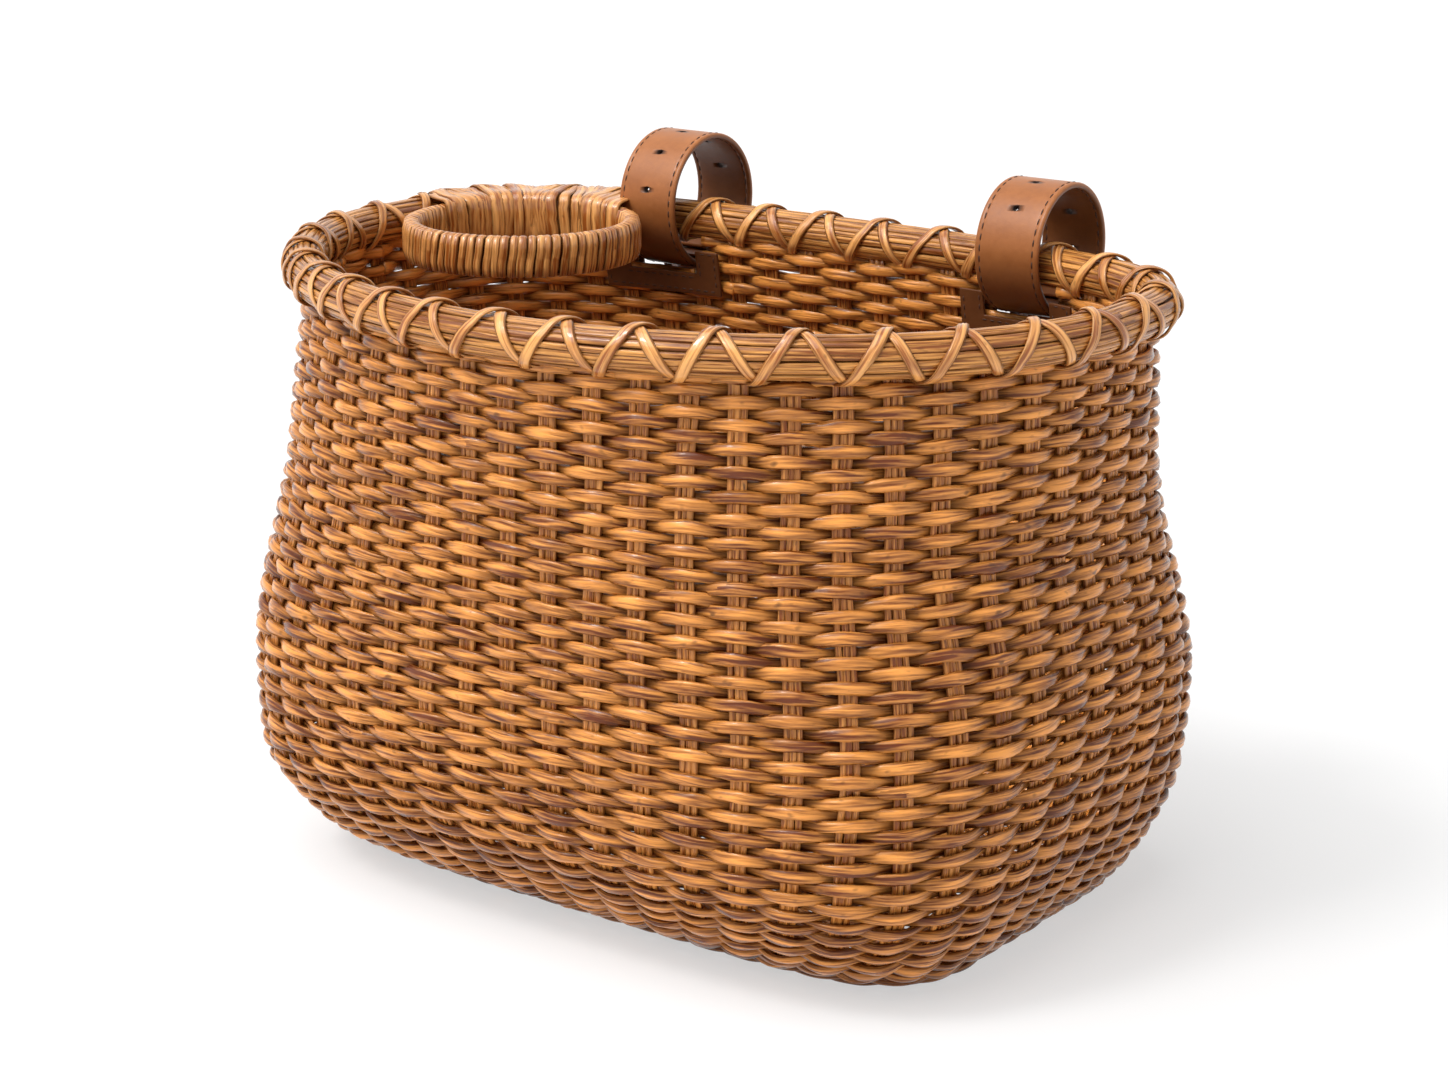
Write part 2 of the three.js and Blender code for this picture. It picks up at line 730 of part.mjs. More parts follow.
// A round wire along a line of points.
const wireSides = 8;
function wire(points, radius, closedRun) {
  const count = points.length;
  const rings = points.map((point, i) => {
    const before = points[closedRun ? (i + count - 1) % count : Math.max(i - 1, 0)];
    const after = points[closedRun ? (i + 1) % count : Math.min(i + 1, count - 1)];
    const run = after.clone().sub(before).normalize();
    const first = Math.abs(run.x) > 0.7 ? new THREE.Vector3(0, 1, 0.3) : new THREE.Vector3(1, 0, 0);
    const one = first.clone().addScaledVector(run, -first.dot(run)).normalize();
    const two = run.clone().cross(one);
    return Array.from({ length: wireSides }, (_, j) => {
      const turn = (j / wireSides) * 2 * Math.PI;
      const sideways = one.clone().multiplyScalar(radius * Math.cos(turn));
      return sideways.addScaledVector(two, radius * Math.sin(turn)).add(point);
    });
  });
  return skin(rings, closedRun);
}

for (const side of sides) {
  const radius = side.radius;
  const reach = radius + strapThickness / 2;
  const lowestAt = wallBackAt(strapPlace - strapWidth / 2, slotFloor, -facetSlack - patchThickness);
  const overFloor = Math.sqrt(reach ** 2 - Math.max(0, strapAxisBehind - lowestAt) ** 2);
  const loop = new THREE.Group();
  loop.position.set(side.x, strapAxisBehind, slotFloor + clearance + overFloor);
  basket.add(loop);

  // The strap with its row of holes, the first of them long for the prong, and the cut in the
  // fold where the prong's sleeve sits.
  const heel = onLoop(radius - barInFold, heelAngle);
  const usedHole = 360 + heelAngle - usedHoleBack;
  const holeStep = holePitch / radius / degrees;
  const longHole = 2.4;
  const holes = Array.from({ length: holeCount }, (_, k) =>
    holeTool(radius + (k === 0 ? layerStep : 0), usedHole - k * holeStep, k === 0 ? longHole : 1),
  );
  const foldCut = new THREE.BoxGeometry(prongSleeve + 2 * clearance, foldCutSize, foldCutSize);
  foldCut.rotateX(-heelAngle * degrees);
  const [cutUp, cutBack] = [0.2, 1.4];
  const cutMiddle = onLoop(radius - barInFold + cutUp, heelAngle);
  cutMiddle.addScaledVector(onLoop(1, heelAngle - 90), cutBack);
  foldCut.translate(0, cutMiddle.x, cutMiddle.y);
  const strapBand = band(strapLine(radius), strapThickness, strapWidth);
  addPiece(`strap_${side.name}`, cutAway(strapBand, [...holes, foldCut]), "leather", loop);

  // The buckle's frame: the heel bar in the fold, the front bar over the strap, two side bars.
  const front = onLoop(radius + strapThickness / 2 + clearance + wireRadius, frontBarAngle);
  const halfFrame = strapWidth / 2 + 2 * clearance + wireRadius;
  const frameRun = front.clone().sub(heel);
  const frameLength = frameRun.length();
  frameRun.normalize();
  const frameLine = [];
  const cornerSteps = 3;
  [[1, 0], [1, 1], [-1, 1], [-1, 0]].forEach(([sx, far], quarter) => {
    for (let i = 0; i <= cornerSteps; i += 1) {
      const turn = (quarter - 1 + i / cornerSteps) * 90 * degrees;
      const x = sx * (halfFrame - frameCorner) + frameCorner * Math.cos(turn);
      const s = (far ? frameLength - frameCorner : frameCorner) + frameCorner * Math.sin(turn);
      frameLine.push(inLoop(heel.clone().addScaledVector(frameRun, s), x));
    }
  });
  addPiece(`buckle_frame_${side.name}`, wire(frameLine, wireRadius, true), "metal", loop);

  // The prong: a sleeve on the heel bar, and a pin through the strap's hole onto the front bar.
  const sleeveRadius = wireRadius + clearance;
  const sleeveSteps = 12;
  const sleeve = skin(
    Array.from({ length: sleeveSteps }, (_, i) => {
      const turn = (i / sleeveSteps) * 2 * Math.PI;
      const facing = new THREE.Vector2(Math.cos(turn), Math.sin(turn));
      const corner = (r, x) => inLoop(heel.clone().addScaledVector(facing, r), x);
      const [inner, outer, half] = [sleeveRadius, sleeveRadius + sleeveWall, prongSleeve / 2];
      return [corner(inner, -half), corner(outer, -half), corner(outer, half), corner(inner, half)];
    }),
    true,
  );
  const overBar = radius + strapThickness / 2 + 2 * clearance + 2 * wireRadius + prongRadius;
  const pinLine = [
    onLoop(radius - barInFold + sleeveRadius + sleeveWall / 2, heelAngle - 1),
    onLoop(radius + layerStep + strapThickness / 2 - 0.4, heelAngle - 8.5),
    onLoop(radius + layerStep + strapThickness / 2 + prongRadius + 0.7, heelAngle - 13),
    onLoop(overBar + 0.5, (heelAngle + frontBarAngle) / 2),
    onLoop(overBar + 0.1, frontBarAngle),
    onLoop(overBar - 0.2, frontBarAngle - 4),
  ].map((p) => inLoop(p, 0));
  const prong = geometryOf(solidOf(sleeve).add(solidOf(wire(pinLine, prongRadius, false))));
  addPiece(`buckle_prong_${side.name}`, prong, "metal", loop);

  // The keeper: a leather loop round the tail and the strap under it.
  const keeperShape = new THREE.Shape();
  const holeHalf = strapWidth / 2 + clearance;
  const bendRoom = 0.15;
  const inside = radius - strapThickness / 2 - clearance - bendRoom;
  const outside = radius + layerStep + strapThickness / 2 + clearance;
  const out = holeHalf + keeperThickness;
  const [low, high] = [inside - keeperThickness, outside + keeperThickness];
  keeperShape.moveTo(-out, low).lineTo(out, low).lineTo(out, high).lineTo(-out, high).closePath();
  const keeperHole = new THREE.Path();
  keeperHole.moveTo(-holeHalf, inside).lineTo(-holeHalf, outside);
  keeperHole.lineTo(holeHalf, outside).lineTo(holeHalf, inside);
  keeperShape.holes.push(keeperHole.closePath());
  const keeper = new THREE.ExtrudeGeometry(keeperShape, { depth: keeperWidth, bevelEnabled: false });
  keeper.translate(0, 0, -keeperWidth / 2).rotateX(-keeperAngle * degrees);
  addPiece(`keeper_${side.name}`, keeper, "leather", loop);
}

console.log(
  `least gap between turns: lacing ${Math.min(...laceGaps).toFixed(2)} mm, ` +
    `ring wrap ${Math.min(...wrapGaps).toFixed(2)} mm, tie ${leastGap(tieRings, tiePerTurn).toFixed(2)} mm`,
);

export default basket;
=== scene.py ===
# %% [markdown]
# A woven rattan bicycle basket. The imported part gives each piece's size and place, and this
# script dresses it: every reed of the weave, the rim with its crossed lacing, the wrapped cup
# ring, and the two leather straps with their buckles. Lengths in the sums are millimetres.

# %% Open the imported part
import itertools
import json
import math

import bpy
import numpy as np
from mathutils import Matrix, Vector


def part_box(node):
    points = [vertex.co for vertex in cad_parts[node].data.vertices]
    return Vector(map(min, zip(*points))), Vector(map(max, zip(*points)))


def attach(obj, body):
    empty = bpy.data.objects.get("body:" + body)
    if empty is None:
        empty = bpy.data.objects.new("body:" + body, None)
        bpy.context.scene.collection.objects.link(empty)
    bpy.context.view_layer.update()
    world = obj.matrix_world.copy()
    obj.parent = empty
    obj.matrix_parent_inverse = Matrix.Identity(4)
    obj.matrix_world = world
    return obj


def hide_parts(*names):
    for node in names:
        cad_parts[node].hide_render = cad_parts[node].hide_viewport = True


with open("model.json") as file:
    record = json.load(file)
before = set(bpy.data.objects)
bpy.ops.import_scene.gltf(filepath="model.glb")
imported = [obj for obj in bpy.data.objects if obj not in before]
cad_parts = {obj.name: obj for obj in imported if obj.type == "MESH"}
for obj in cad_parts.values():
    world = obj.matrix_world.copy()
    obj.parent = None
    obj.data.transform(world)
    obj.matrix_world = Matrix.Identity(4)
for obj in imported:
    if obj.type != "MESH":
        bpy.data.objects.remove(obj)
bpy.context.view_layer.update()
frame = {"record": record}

MM = 0.001

# %% [markdown]
# The camera stands where the photograph was taken from: in front and to the right, sixteen
# degrees above the horizon. Its place and lens came from fitting the basket's outline.

# %% Camera
CAMERA_PLACE = (693.16, -928.82, 465.34)
CAMERA_TARGET = (2.8, 5.05, 131.55)
LENS = 77.145
SENSOR_WIDTH = 36
FAR_END = 60
camera_data = bpy.data.cameras.new("camera")
camera = bpy.data.objects.new("camera", camera_data)
bpy.context.scene.collection.objects.link(camera)
bpy.context.scene.camera = camera
camera.location = Vector(CAMERA_PLACE) * MM
looking = (Vector(CAMERA_TARGET) - Vector(CAMERA_PLACE)) * MM
camera.rotation_euler = looking.to_track_quat("-Z", "Y").to_euler()
camera_data.lens = LENS
camera_data.sensor_width = SENSOR_WIDTH
camera_data.clip_end = FAR_END
print("camera distance", round(looking.length, 3), "m")

# %% [markdown]
# The room is a plain white studio. Suns reach the whole floor evenly, so the floor stays white
# to the horizon. The key sun is very wide, so its shadows are soft. A small one beside it gives
# the weave its crisp shadows, a lower one lights the front of the wall, and a weak one opens the
# shade on the right.

# %% Suns
# Azimuth from the front to the right, height, strength and width; the angles are in degrees.
SUNS = {
    "key_sun": (-20, 62, 2.3, 62),
    "small_sun": (-24, 55, 1.1, 14),
    "low_sun": (-36, 48, 0.64, 60),
    "fill_sun": (95, 35, 0.2, 60),
}
scene = bpy.context.scene
scene.view_settings.view_transform = "Standard"


def add_sun(name, azimuth, elevation, strength, softness):
    """A sun that shines from an azimuth, counted from the front to the right, and a height."""
    a, e = math.radians(azimuth), math.radians(elevation)
    towards = Vector((math.sin(a) * math.cos(e), -math.cos(a) * math.cos(e), math.sin(e)))
    data = bpy.data.lights.new(name, "SUN")
    data.energy = strength
    data.angle = math.radians(softness)
    lamp = bpy.data.objects.new(name, data)
    lamp.rotation_euler = towards.to_track_quat("Z", "Y").to_euler()
    scene.collection.objects.link(lamp)


for name, values in SUNS.items():
    add_sun(name, *values)

# %% [markdown]
# Every material here is a small tree of nodes. These helpers add a node and fill in its inputs,
# each with a value or with what another node gives.


# %% Shader nodes
def fill(tree, node, inputs):
    """Gives a node's inputs their values; a value that is a socket is joined instead."""
    for key, value in inputs.items():
        if isinstance(value, bpy.types.NodeSocket):
            tree.links.new(value, node.inputs[key])
        else:
            node.inputs[key].default_value = value


def add_node(tree, kind, inputs=None, **settings):
    """A node of a kind, with its settings and its inputs."""
    node = tree.nodes.new(f"ShaderNode{kind}")
    for key, value in settings.items():
        setattr(node, key, value)
    fill(tree, node, inputs or {})
    return node


def add_math(tree, operation, first, second, clamp=False):
    """The result of a maths node; each input is a socket or a number."""
    node = add_node(tree, "Math", {0: first, 1: second}, operation=operation, use_clamp=clamp)
    return node.outputs[0]


def mix_colour(tree, share, first, second):
    """A colour mixed from two, by a share from 0 to 1."""
    inputs = {"Factor": share, "A": first, "B": second}
    return add_node(tree, "Mix", inputs, data_type="RGBA").outputs["Result"]


def seen_directly(tree):
    """A mask that is 1 for what the camera, a reflection or glass sees."""
    path = add_node(tree, "LightPath").outputs
    mask = add_math(tree, "MAXIMUM", path["Is Camera Ray"], path["Is Glossy Ray"])
    return add_math(tree, "MAXIMUM", mask, path["Is Transmission Ray"])


# %% [markdown]
# The sky is white where it is seen and dimmer as a light. The floor shows camera rays mostly plain
# white, and keeps enough of its own shading for the basket's shadow.

# %% Sky and floor
SKY_STRENGTH = 0.28
FLOOR_WHITE = 0.55
FLOOR_GREY = (0.88, 0.88, 0.88, 1)
FLOOR_HALF = 8
world = bpy.data.worlds.new("studio")
scene.world = world
world.use_nodes = True
sky = world.node_tree
sky.nodes.clear()
white = (1, 1, 1, 1)
sky_light = add_node(sky, "Background", {"Color": white, "Strength": SKY_STRENGTH})
sky_seen = add_node(sky, "Background", {"Color": white})
sky_sides = {"Fac": seen_directly(sky), 1: sky_light.outputs[0], 2: sky_seen.outputs[0]}
sky_mix = add_node(sky, "MixShader", sky_sides)
add_node(sky, "OutputWorld", {"Surface": sky_mix.outputs[0]})

floor_data = bpy.data.meshes.new("floor")
floor_corners = [(-1, -1, 0), (1, -1, 0), (1, 1, 0), (-1, 1, 0)]
floor_data.from_pydata(floor_corners, [], [(0, 1, 2, 3)])
floor_data.transform(Matrix.Scale(FLOOR_HALF, 4))
floor = bpy.data.objects.new("floor", floor_data)
scene.collection.objects.link(floor)
floor_look = bpy.data.materials.new("floor_white")
floor_look.use_nodes = True
tree = floor_look.node_tree
tree.nodes.clear()
floor_shade = add_node(tree, "BsdfDiffuse", {"Color": FLOOR_GREY})
floor_glow = add_node(tree, "Emission")
floor_share = add_math(tree, "MULTIPLY", seen_directly(tree), FLOOR_WHITE)
floor_sides = {"Fac": floor_share, 1: floor_shade.outputs[0], 2: floor_glow.outputs[0]}
floor_mix = add_node(tree, "MixShader", floor_sides)
add_node(tree, "OutputMaterial", {"Surface": floor_mix.outputs[0]})
floor_data.materials.append(floor_look)
print("floor", 2 * FLOOR_HALF, "m wide")

# %% [markdown]
# Varnished rattan has long fibres, a tone that changes from reed to reed, and a few dark flecks.
# The reeds run every way, so the pattern has to follow each reed: every piece carries a map of
# its length and its girth, and two values, its own tone and how deep in the weave it lies. One
# node group makes the colour and the fibres from those, for every rattan finish here. The depth
# paints shade into the colour: a low depth darkens it where the weave's recesses lie in shade.


# %% Colours, groups and materials
def paint(red, green, blue):
    """A screen colour of 0 to 255 as the linear colour that a shader wants."""
    share = np.array([red, green, blue]) / 255
    linear = np.where(share <= 0.04045, share / 12.92, ((share + 0.055) / 1.055) ** 2.4)
    return (*[float(v) for v in linear], 1.0)


def add_group(name, inputs, outputs):
    """An empty node group with its sockets, and what comes in and goes out."""
    group = bpy.data.node_groups.new(name, "ShaderNodeTree")
    for way, sockets in (("INPUT", inputs), ("OUTPUT", outputs)):
        for socket, kind in sockets.items():
            group.interface.new_socket(socket, in_out=way, socket_type=f"NodeSocket{kind}")
    return group, group.nodes.new("NodeGroupInput").outputs, group.nodes.new("NodeGroupOutput")


def new_look(name, inputs):
    """A material whose shader has its constants set, with the material's tree."""
    look = bpy.data.materials.new(name)
    look.use_nodes = True
    shader = look.node_tree.nodes["Principled BSDF"]
    fill(look.node_tree, shader, inputs)
    return look, look.node_tree, shader


def use_group(tree, shader, group, inputs, bump, bump_depth):
    """Puts a group's colour, roughness and bump height on the shader. Returns what it gives."""
    pattern = add_node(tree, "Group", node_tree=group)
    fill(tree, pattern, inputs)
    given = pattern.outputs
    height = {"Height": given["Height"], "Strength": bump, "Distance": bump_depth}
    normal = add_node(tree, "Bump", height).outputs["Normal"]
    surface = {"Base Color": given["Color"], "Roughness": given["Roughness"], "Normal": normal}
    fill(tree, shader, surface)
    return given


def mesh_value(tree, key):
    """A value that each point of the mesh carries."""
    return add_node(tree, "Attribute", attribute_name=key).outputs["Fac"]


# %% The rattan group
# How many cells of each noise lie across and along a metre of reed, and how fine its detail is.
FIBRES = (17, 75, 3)
STREAKS = (8, 40, 2)
BLOTCHES = (1.3, 40, 2)
FLECKS = (5, 190, 1)
FIBRE_SHARE = 1.8
STREAK_SHARE = 2.9
BLOTCH_SHARE = 1.4
SHARE_OFFSET = 2.58
FLECK_FROM = 0.66
FLECK_SHARPNESS = 7
FLECK_WEIGHT = 0.7
PAINTED_SHADE_WEIGHT = 0.97
SMOOTHEST = 0.1
STREAK_ROUGHNESS = 0.4
STREAK_HEIGHT = 0.8
FIBRE_HEIGHT = 0.0005
VARNISH_FROM = 0.4
VARNISH_RISE = 1.7


def fibre_noise(tree, vector, across, along, detail):
    """Noise that is drawn out along the reed: the map is stretched before the noise is read."""
    stretch = add_node(tree, "Mapping", {"Scale": (along, across, 1), "Vector": vector})
    inputs = {"Scale": 1, "Detail": detail, "Vector": stretch.outputs[0]}
    return add_node(tree, "TexNoise", inputs).outputs["Fac"]


def rattan_group():
    """Fibres, streaks and blotches give a share between a dark and a light colour, flecks darken
    it, a low depth darkens it as painted shade, and the fibres give the bump's height. Varnish
    covers what lies high."""
    inputs = {"Map": "Vector", "Tone": "Float", "Depth": "Float", "Light": "Color", "Dark": "Color"}
    outputs = {"Color": "Color", "Roughness": "Float", "Height": "Float", "Varnish": "Float"}
    group, into, out = add_group("rattan_fibres", inputs, outputs)
    noises = [fibre_noise(group, into["Map"], *n) for n in (FIBRES, STREAKS, BLOTCHES, FLECKS)]
    fibres, streaks, blotches, flecks = noises
    share = add_math(group, "MULTIPLY", fibres, FIBRE_SHARE)
    share = add_math(group, "ADD", share, add_math(group, "MULTIPLY", streaks, STREAK_SHARE))
    share = add_math(group, "ADD", share, add_math(group, "MULTIPLY", blotches, BLOTCH_SHARE))
    share = add_math(group, "SUBTRACT", share, SHARE_OFFSET)
    share = add_math(group, "ADD", share, into["Tone"], clamp=True)
    colour = mix_colour(group, share, into["Dark"], into["Light"])
    fleck = add_math(group, "SUBTRACT", flecks, FLECK_FROM)
    fleck = add_math(group, "MULTIPLY", fleck, FLECK_SHARPNESS, clamp=True)
    fleck = add_math(group, "MULTIPLY", fleck, FLECK_WEIGHT)
    colour = mix_colour(group, fleck, colour, paint(66, 30, 8))
    # Painted shade: the lower the depth, the more the colour goes to a near black brown.
    deep = add_math(group, "SUBTRACT", 1.0, into["Depth"])
    deep = add_math(group, "MULTIPLY", deep, PAINTED_SHADE_WEIGHT, clamp=True)
    rough = add_math(group, "MULTIPLY", streaks, STREAK_ROUGHNESS)
    raised = add_math(group, "MULTIPLY", streaks, STREAK_HEIGHT)
    coated = add_math(group, "SUBTRACT", into["Depth"], VARNISH_FROM)
    fill(group, out, {
        "Color": mix_colour(group, deep, colour, paint(40, 10, 1)),
        "Roughness": add_math(group, "ADD", rough, SMOOTHEST),
        "Height": add_math(group, "ADD", fibres, raised),
        "Varnish": add_math(group, "MULTIPLY", coated, VARNISH_RISE, clamp=True),
    })
    return group


RATTAN = rattan_group()


# %% Rattan finishes
def rattan_look(name, light, dark, bump, varnish=0.6):
    """A rattan finish: the group's colour under a clear varnish coat."""
    constants = {
        "Specular IOR Level": 0.2,
        "Specular Tint": paint(255, 234, 202),
        "Coat Roughness": 0.16,
    }
    look, tree, shader = new_look(name, constants)
    reed_map = add_node(tree, "UVMap", uv_map="reed").outputs[0]
    inputs = {"Light": light, "Dark": dark, "Map": reed_map}
    inputs |= {"Tone": mesh_value(tree, "tone"), "Depth": mesh_value(tree, "depth")}
    given = use_group(tree, shader, RATTAN, inputs, bump, FIBRE_HEIGHT)
    coat = add_math(tree, "MULTIPLY", given["Varnish"], varnish)
    fill(tree, shader, {"Coat Weight": coat})
    return look


weave_look = rattan_look("woven_rattan", paint(248, 164, 79), paint(104, 43, 6), 1.0)
stake_look = rattan_look("stake_rattan", paint(242, 164, 84), paint(146, 74, 24), 0.8)
rim_look = rattan_look("rim_rattan", paint(238, 166, 86), paint(130, 68, 24), 0.8)
cane_look = rattan_look("lacing_cane", paint(248, 178, 102), paint(156, 84, 32), 0.8, 0.9)
print("rattan finishes", [m.name for m in (weave_look, stake_look, rim_look, cane_look)])

# %% [markdown]
# Everything woven is a strand: a path with a small oval section carried along it. The rings of
# points are worked out as whole arrays, and these helpers turn them into meshes, so that each
# strand is a closed body with a map of its length, its tone and its depth.


# %% Rings round a path
def unit(vectors):
    """Vectors made one long."""
    return vectors / np.linalg.norm(vectors, axis=-1, keepdims=True)


def directions(place, outward, closed=False):
    """Two directions square to a path at each of its points: outward, and the one sideways, which
    is outward crossed with the path's run."""
    if closed:
        along = unit(np.roll(place, -1, axis=-2) - np.roll(place, 1, axis=-2))
    else:
        along = unit(np.gradient(place, axis=-2))
    out = unit(outward - (outward * along).sum(-1, keepdims=True) * along)
    return out, np.cross(out, along)


def oval_rings(place, out, side, half_thick, half_wide, points=8, square=2.0, turn=0.0, relief=1.0):
    """Rings of an oval section: place + T·cos(a)·out + W·sin(a)·side, where a power of 2 over
    square makes the corners fuller, turn rolls the oval about the path, and relief scales the
    radius, with a value for each point of a ring."""
    a = np.linspace(0, 2 * np.pi, points, endpoint=False)
    c = relief * np.sign(np.cos(a)) * np.abs(np.cos(a)) ** (2 / square)
    s = relief * np.sign(np.sin(a)) * np.abs(np.sin(a)) ** (2 / square)
    roll = np.broadcast_to(np.asarray(turn, float), place.shape[:-1])[..., None]
    thick = np.broadcast_to(np.asarray(half_thick, float), place.shape[:-1])[..., None] * c
    wide = np.broadcast_to(np.asarray(half_wide, float), place.shape[:-1])[..., None] * s
    on_out = thick * np.cos(roll) - wide * np.sin(roll)
    on_side = thick * np.sin(roll) + wide * np.cos(roll)
    return (
        place[..., None, :]
        + on_out[..., None] * out[..., None, :]
        + on_side[..., None] * side[..., None, :]
    )


def strand_rings(place, outward, half_thick, half_wide, closed=False, **section):
    """Oval rings along a path, whose thin way faces outward."""
    out, side = directions(place, outward, closed)
    return oval_rings(place, out, side, half_thick, half_wide, **section)


def run_along(points):
    """How far along the path each of its points lies."""
    steps = np.linalg.norm(np.diff(points, axis=0), axis=1)
    return np.concatenate([[0], np.cumsum(steps)])


def read_run(want, along, points):
    """The path's places at the distances wanted."""
    return np.stack([np.interp(want, along, values) for values in points.T], -1)


def even_rise(share):
    """The rise of a cubic from 0 to 1 that is level at both ends: t·t·(3 - 2·t)."""
    return share * share * (3 - 2 * share)


def ridges(along, points, size, seed):
    """A relief with three and five lengthwise ridges whose places round the strand drift."""
    a = np.linspace(0, 2 * np.pi, points, endpoint=False)
    three = 3 * a + wander(along, 1.6, 40, seed)[:, None]
    five = 5 * a + wander(along, 1.9, 27, seed + 1)[:, None]
    return 1 + size * (np.sin(three + seed) + 0.8 * np.sin(five + 2 * seed))


def grooved(points, grooves, size):
    """A relief with grooves in the two flat faces: 1 - size/2·(1 - cos(pi·(n + 1)·sin(a)))."""
    a = np.linspace(0, 2 * np.pi, points, endpoint=False)
    wave = 1 - np.cos(np.pi * (grooves + 1) * np.sin(a))
    return 1 - size / 2 * wave * np.abs(np.cos(a)) ** 0.5


def outer_depth(points, low, high):
    """A depth for each point of a ring, high on the outer and inner faces and low on the edges,
    which paints shade along the edges, where neighbours meet.
    """
    a = np.linspace(0, 2 * np.pi, points, endpoint=False)
    return (low + (high - low) * np.abs(np.cos(a)))[None, :]


def wander(along, size, length, seed):
    """A slow smooth drift along a strand: three sines of falling size and length."""
    phases = np.random.default_rng(seed).uniform(0, 2 * np.pi, 3)
    waves = zip((1.0, 0.6, 0.4), (1.0, 0.57, 0.31), phases)
    return size / 1.3 * sum(w * np.sin(2 * np.pi * along / (length * k) + p) for w, k, p in waves)


# %% From rings to a mesh
# Each strand's map starts at a place of its own, so that no two strands have the same fibres.
MAP_STEP = 0.0173
MAP_SPAN = 9


def strand_faces(steps, around, closed):
    """Four-sided faces between each ring and the next, and over both ends of an open strand."""
    i = np.arange(steps if closed else steps - 1)[:, None]
    j = np.arange(around)[None, :]
    near, far = i * around, ((i + 1) % steps) * around
    right = (j + 1) % around
    sides = np.broadcast_arrays(near + j, near + right, far + right, far + j)
    sides = np.stack(sides, -1).reshape(-1, 4)
    if closed:
        return sides
    k = np.arange(around // 2 - 1)
    first = np.stack([k, around - 1 - k, around - 2 - k, k + 1], -1)
    last = first[:, ::-1] + (steps - 1) * around
    return np.concatenate([sides, first, last])


def strand_map(steps, around, closed, along, closing):
    """The map for those faces: along the strand in metres, and round it from 0 to 1, with its
    seam on the strand's hidden side."""
    i = np.arange(steps if closed else steps - 1)[:, None]
    j = (np.arange(around)[None, :] + around // 2) % around
    run = np.append(along, along[-1] + closing)
    u = np.stack(np.broadcast_arrays(run[i], run[i], run[i + 1], run[i + 1] + 0 * j), -1)
    v = np.stack(np.broadcast_arrays(j + 0 * i, j + 1, j + 1, j), -1) / around
    sides = np.stack([u, v], -1).reshape(-1, 4, 2)
    if closed:
        return sides
    caps = np.zeros((2 * (around // 2 - 1), 4, 2))
    caps[..., 0] = run[0]
    return np.concatenate([sides, caps])


def signed_volume(corners, quads):
    """Six times the volume inside, negative when the faces point inwards."""
    a, b, c, d = (corners[quads[:, k]] for k in range(4))
    return (a * np.cross(b, c)).sum() + (a * np.cross(c, d)).sum()


def put_mesh(name, corners, quads, look, body="basket", maps=None, values=None):
    """A smooth object from whole arrays, with its map and its per-point values."""
    if signed_volume(corners, quads) < 0:
        quads = quads[:, ::-1]
        maps = None if maps is None else maps[:, ::-1]
    mesh = bpy.data.meshes.new(name)
    mesh.vertices.add(len(corners))
    mesh.vertices.foreach_set("co", (corners * MM).astype(np.float32).ravel())
    mesh.loops.add(quads.size)
    mesh.loops.foreach_set("vertex_index", quads.astype(np.int32).ravel())
    mesh.polygons.add(len(quads))
    mesh.polygons.foreach_set("loop_start", np.arange(0, quads.size, 4, dtype=np.int32))
    mesh.update(calc_edges=True)
    mesh.shade_smooth()
    if maps is not None:
        layer = mesh.uv_layers.new(name="reed")
        layer.data.foreach_set("uv", maps.astype(np.float32).ravel())
    for key, value in (values or {}).items():
        attribute = mesh.attributes.new(key, "FLOAT", "POINT")
        attribute.data.foreach_set("value", value.astype(np.float32).ravel())
    mesh.materials.append(look)
    made = bpy.data.objects.new(name, mesh)
    scene.collection.objects.link(made)
    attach(made, body)
    print(name, "triangles", 2 * len(quads))
    return made


def put_strands(name, strands, look, slot, closed=False, body="basket"):
    """One object from many strands, each (rings, tone, depth); depth is 1 at the surface and less
    paints shade.
    Tone and depth are single values or arrays that fit the rings' points."""
    corners, quads, maps, tones, depths = [], [], [], [], []
    start = 0
    for rings, tone, depth in strands:
        steps, around = rings.shape[:2]
        middle = rings.mean(1)
        along = run_along(middle) * MM + MAP_STEP * start % MAP_SPAN
        closing = np.linalg.norm(middle[0] - middle[-1]) * MM
        corners.append(rings.reshape(-1, 3))
        quads.append(strand_faces(steps, around, closed) + start)
        maps.append(strand_map(steps, around, closed, along, closing))
        tones.append(np.broadcast_to(np.asarray(tone, float), (steps, around)).ravel())
        depths.append(np.broadcast_to(np.asarray(depth, float), (steps, around)).ravel())
        start += steps * around
    values = {"tone": np.concatenate(tones), "depth": np.concatenate(depths)}
    return put_mesh(
        name, np.concatenate(corners), np.concatenate(quads), look, body,
        np.concatenate(maps), values,
    )


# %% [markdown]
# The wall's shape comes first. Seen from above, every level is a rounded D: each half is a
# superellipse with its own depth and roundness. The levels between the measured ones follow a
# smooth curve, and the table holds places evenly spaced round every level, so that a stake that
# keeps its share of the girth stands upright.

# %% The wall's levels
WALL_TOP = 227.04
WALL_THICKNESS = 6.4
RIM_LINE = {"length": 172.3, "front": 133.8, "back": 91.8, "height": 238.7}
FRONT_ROUND = 1.91
BACK_ROUND = 3.34
SHARES = [0, 0.086, 0.238, 0.454, 0.736, 1]
HALF_LENGTHS = [138.2, 155, 170.5, 177.3, 169.1, 172.8]
FRONTS = [68.5, 99.1, 125.7, 133.4, 133.4, 134.3]
BACKS = [107.8, 109.6, 117.3, 112.6, 102, 92.3]
ROUND_SHARES = [0, 0.38, 1]
FRONT_ROUNDS = [5.3, 3.23, FRONT_ROUND]
BACK_ROUNDS = [6.2, 4.85, BACK_ROUND]


